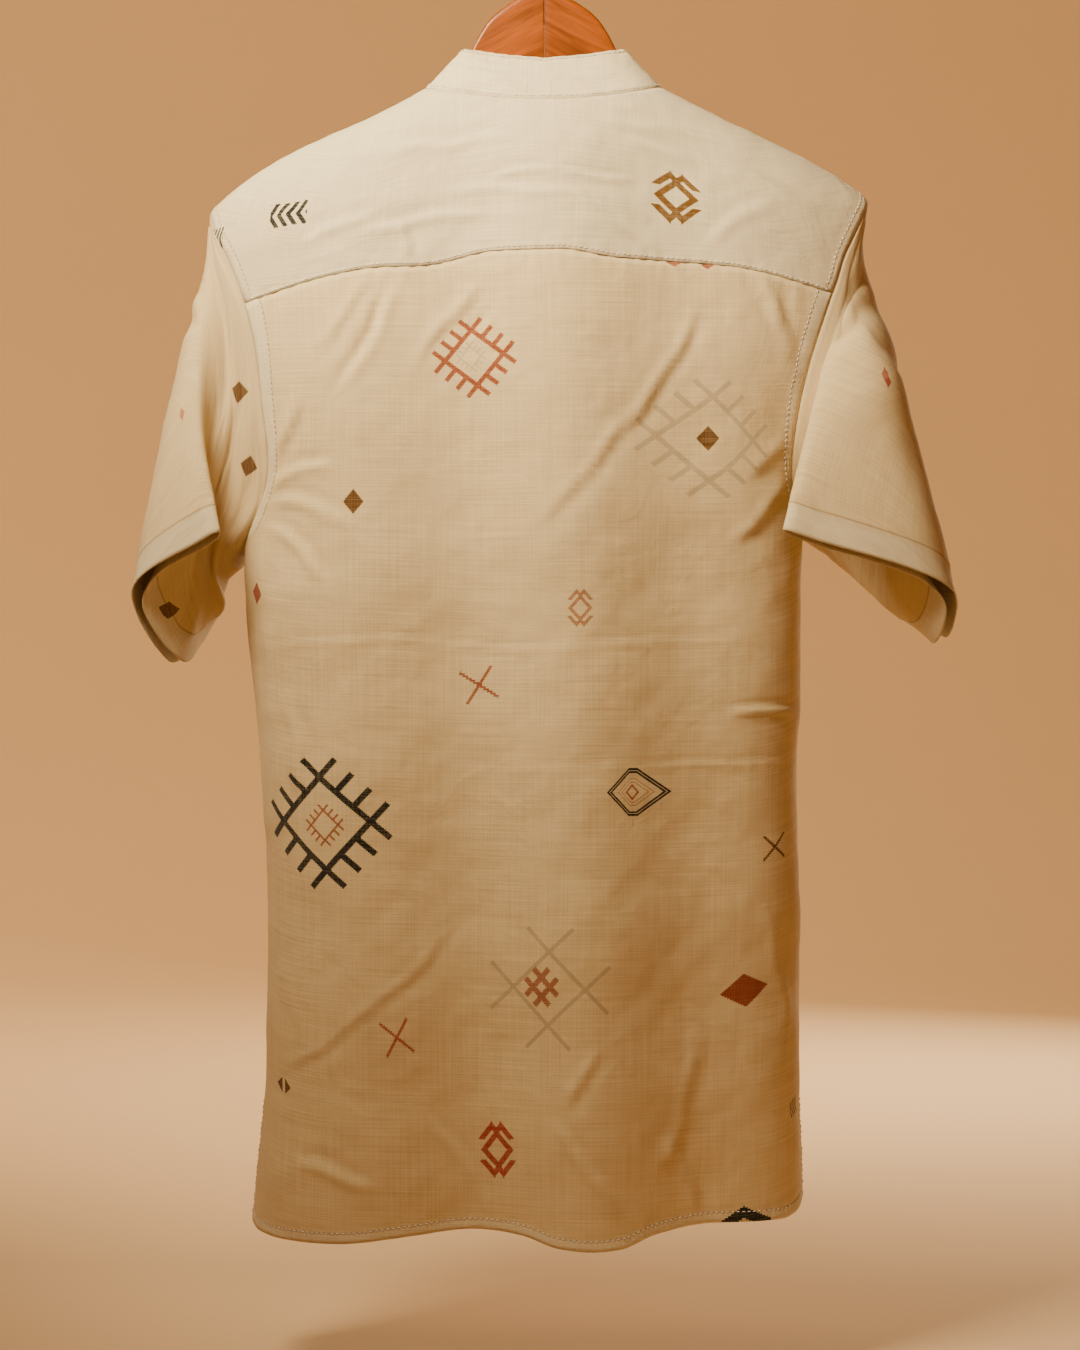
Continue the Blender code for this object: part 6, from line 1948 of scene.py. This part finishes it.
class TUNIC_OT_stage(bpy.types.Operator):
    """Pale floor and wall, soft light and the camera."""

    bl_idname = "tunic.stage"
    bl_label = "Stage"

    def execute(self, context):
        scene, stage = context.scene, context.scene.tunic_stage
        build_stage(stage_material("paper", stage.paper))
        for name, place, target, size, spread, power, colour in LIGHTS:
            add_light(name, place, target, size, spread, power * getattr(stage, name), colour)
        world = bpy.data.worlds.new("soft air")
        world.use_nodes = True
        sky = world.node_tree.nodes["Background"]
        sky.inputs["Color"].default_value = (*WORLD_COLOUR, 1)
        sky.inputs["Strength"].default_value = WORLD_STRENGTH
        scene.world = world
        data = bpy.data.cameras.new("camera")
        data.sensor_fit, data.sensor_height = "VERTICAL", SENSOR
        data.lens = SENSOR / FRAME_HEIGHT * stage.camera_distance
        camera = bpy.data.objects.new("camera", data)
        camera.location = (CAMERA_X, -stage.camera_distance, CAMERA_Z)
        camera.rotation_euler = (math.pi / 2, 0, 0)
        scene.collection.objects.link(camera)
        scene.camera = camera
        return {"FINISHED"}


class TUNIC_PT_pieces(bpy.types.Panel):
    """Lists the tunic's pieces and their settings."""

    bl_idname = "TUNIC_PT_pieces"
    bl_label = "Tunic"
    bl_space_type = "VIEW_3D"
    bl_region_type = "UI"
    bl_category = "Tunic"

    def draw(self, context):
        for settings in (context.scene.tunic_cloth, context.scene.tunic_hanger, context.scene.tunic_stage):
            box = self.layout.box()
            for label in settings.__annotations__:
                box.prop(settings, label)
        for operator in OPERATORS:
            self.layout.operator(operator.bl_idname)


OPERATORS = (
    TUNIC_OT_hanger,
    TUNIC_OT_back,
    TUNIC_OT_front,
    TUNIC_OT_collar,
    TUNIC_OT_sleeves,
    TUNIC_OT_buttons,
    TUNIC_OT_stage,
)
SETTINGS = {"tunic_cloth": TunicCloth, "tunic_hanger": TunicHanger, "tunic_stage": TunicStage}


def register():
    for made in (*SETTINGS.values(), *OPERATORS, TUNIC_PT_pieces):
        bpy.utils.register_class(made)
    for name, kind in SETTINGS.items():
        setattr(bpy.types.Scene, name, PointerProperty(type=kind))


def unregister():
    for name in SETTINGS:
        delattr(bpy.types.Scene, name)
    for made in (TUNIC_PT_pieces, *OPERATORS, *SETTINGS.values()):
        bpy.utils.unregister_class(made)


def main():
    register()
    for operator in OPERATORS:
        group, action = operator.bl_idname.split(".")
        getattr(getattr(bpy.ops, group), action)()


if __name__ == "__main__":
    main()
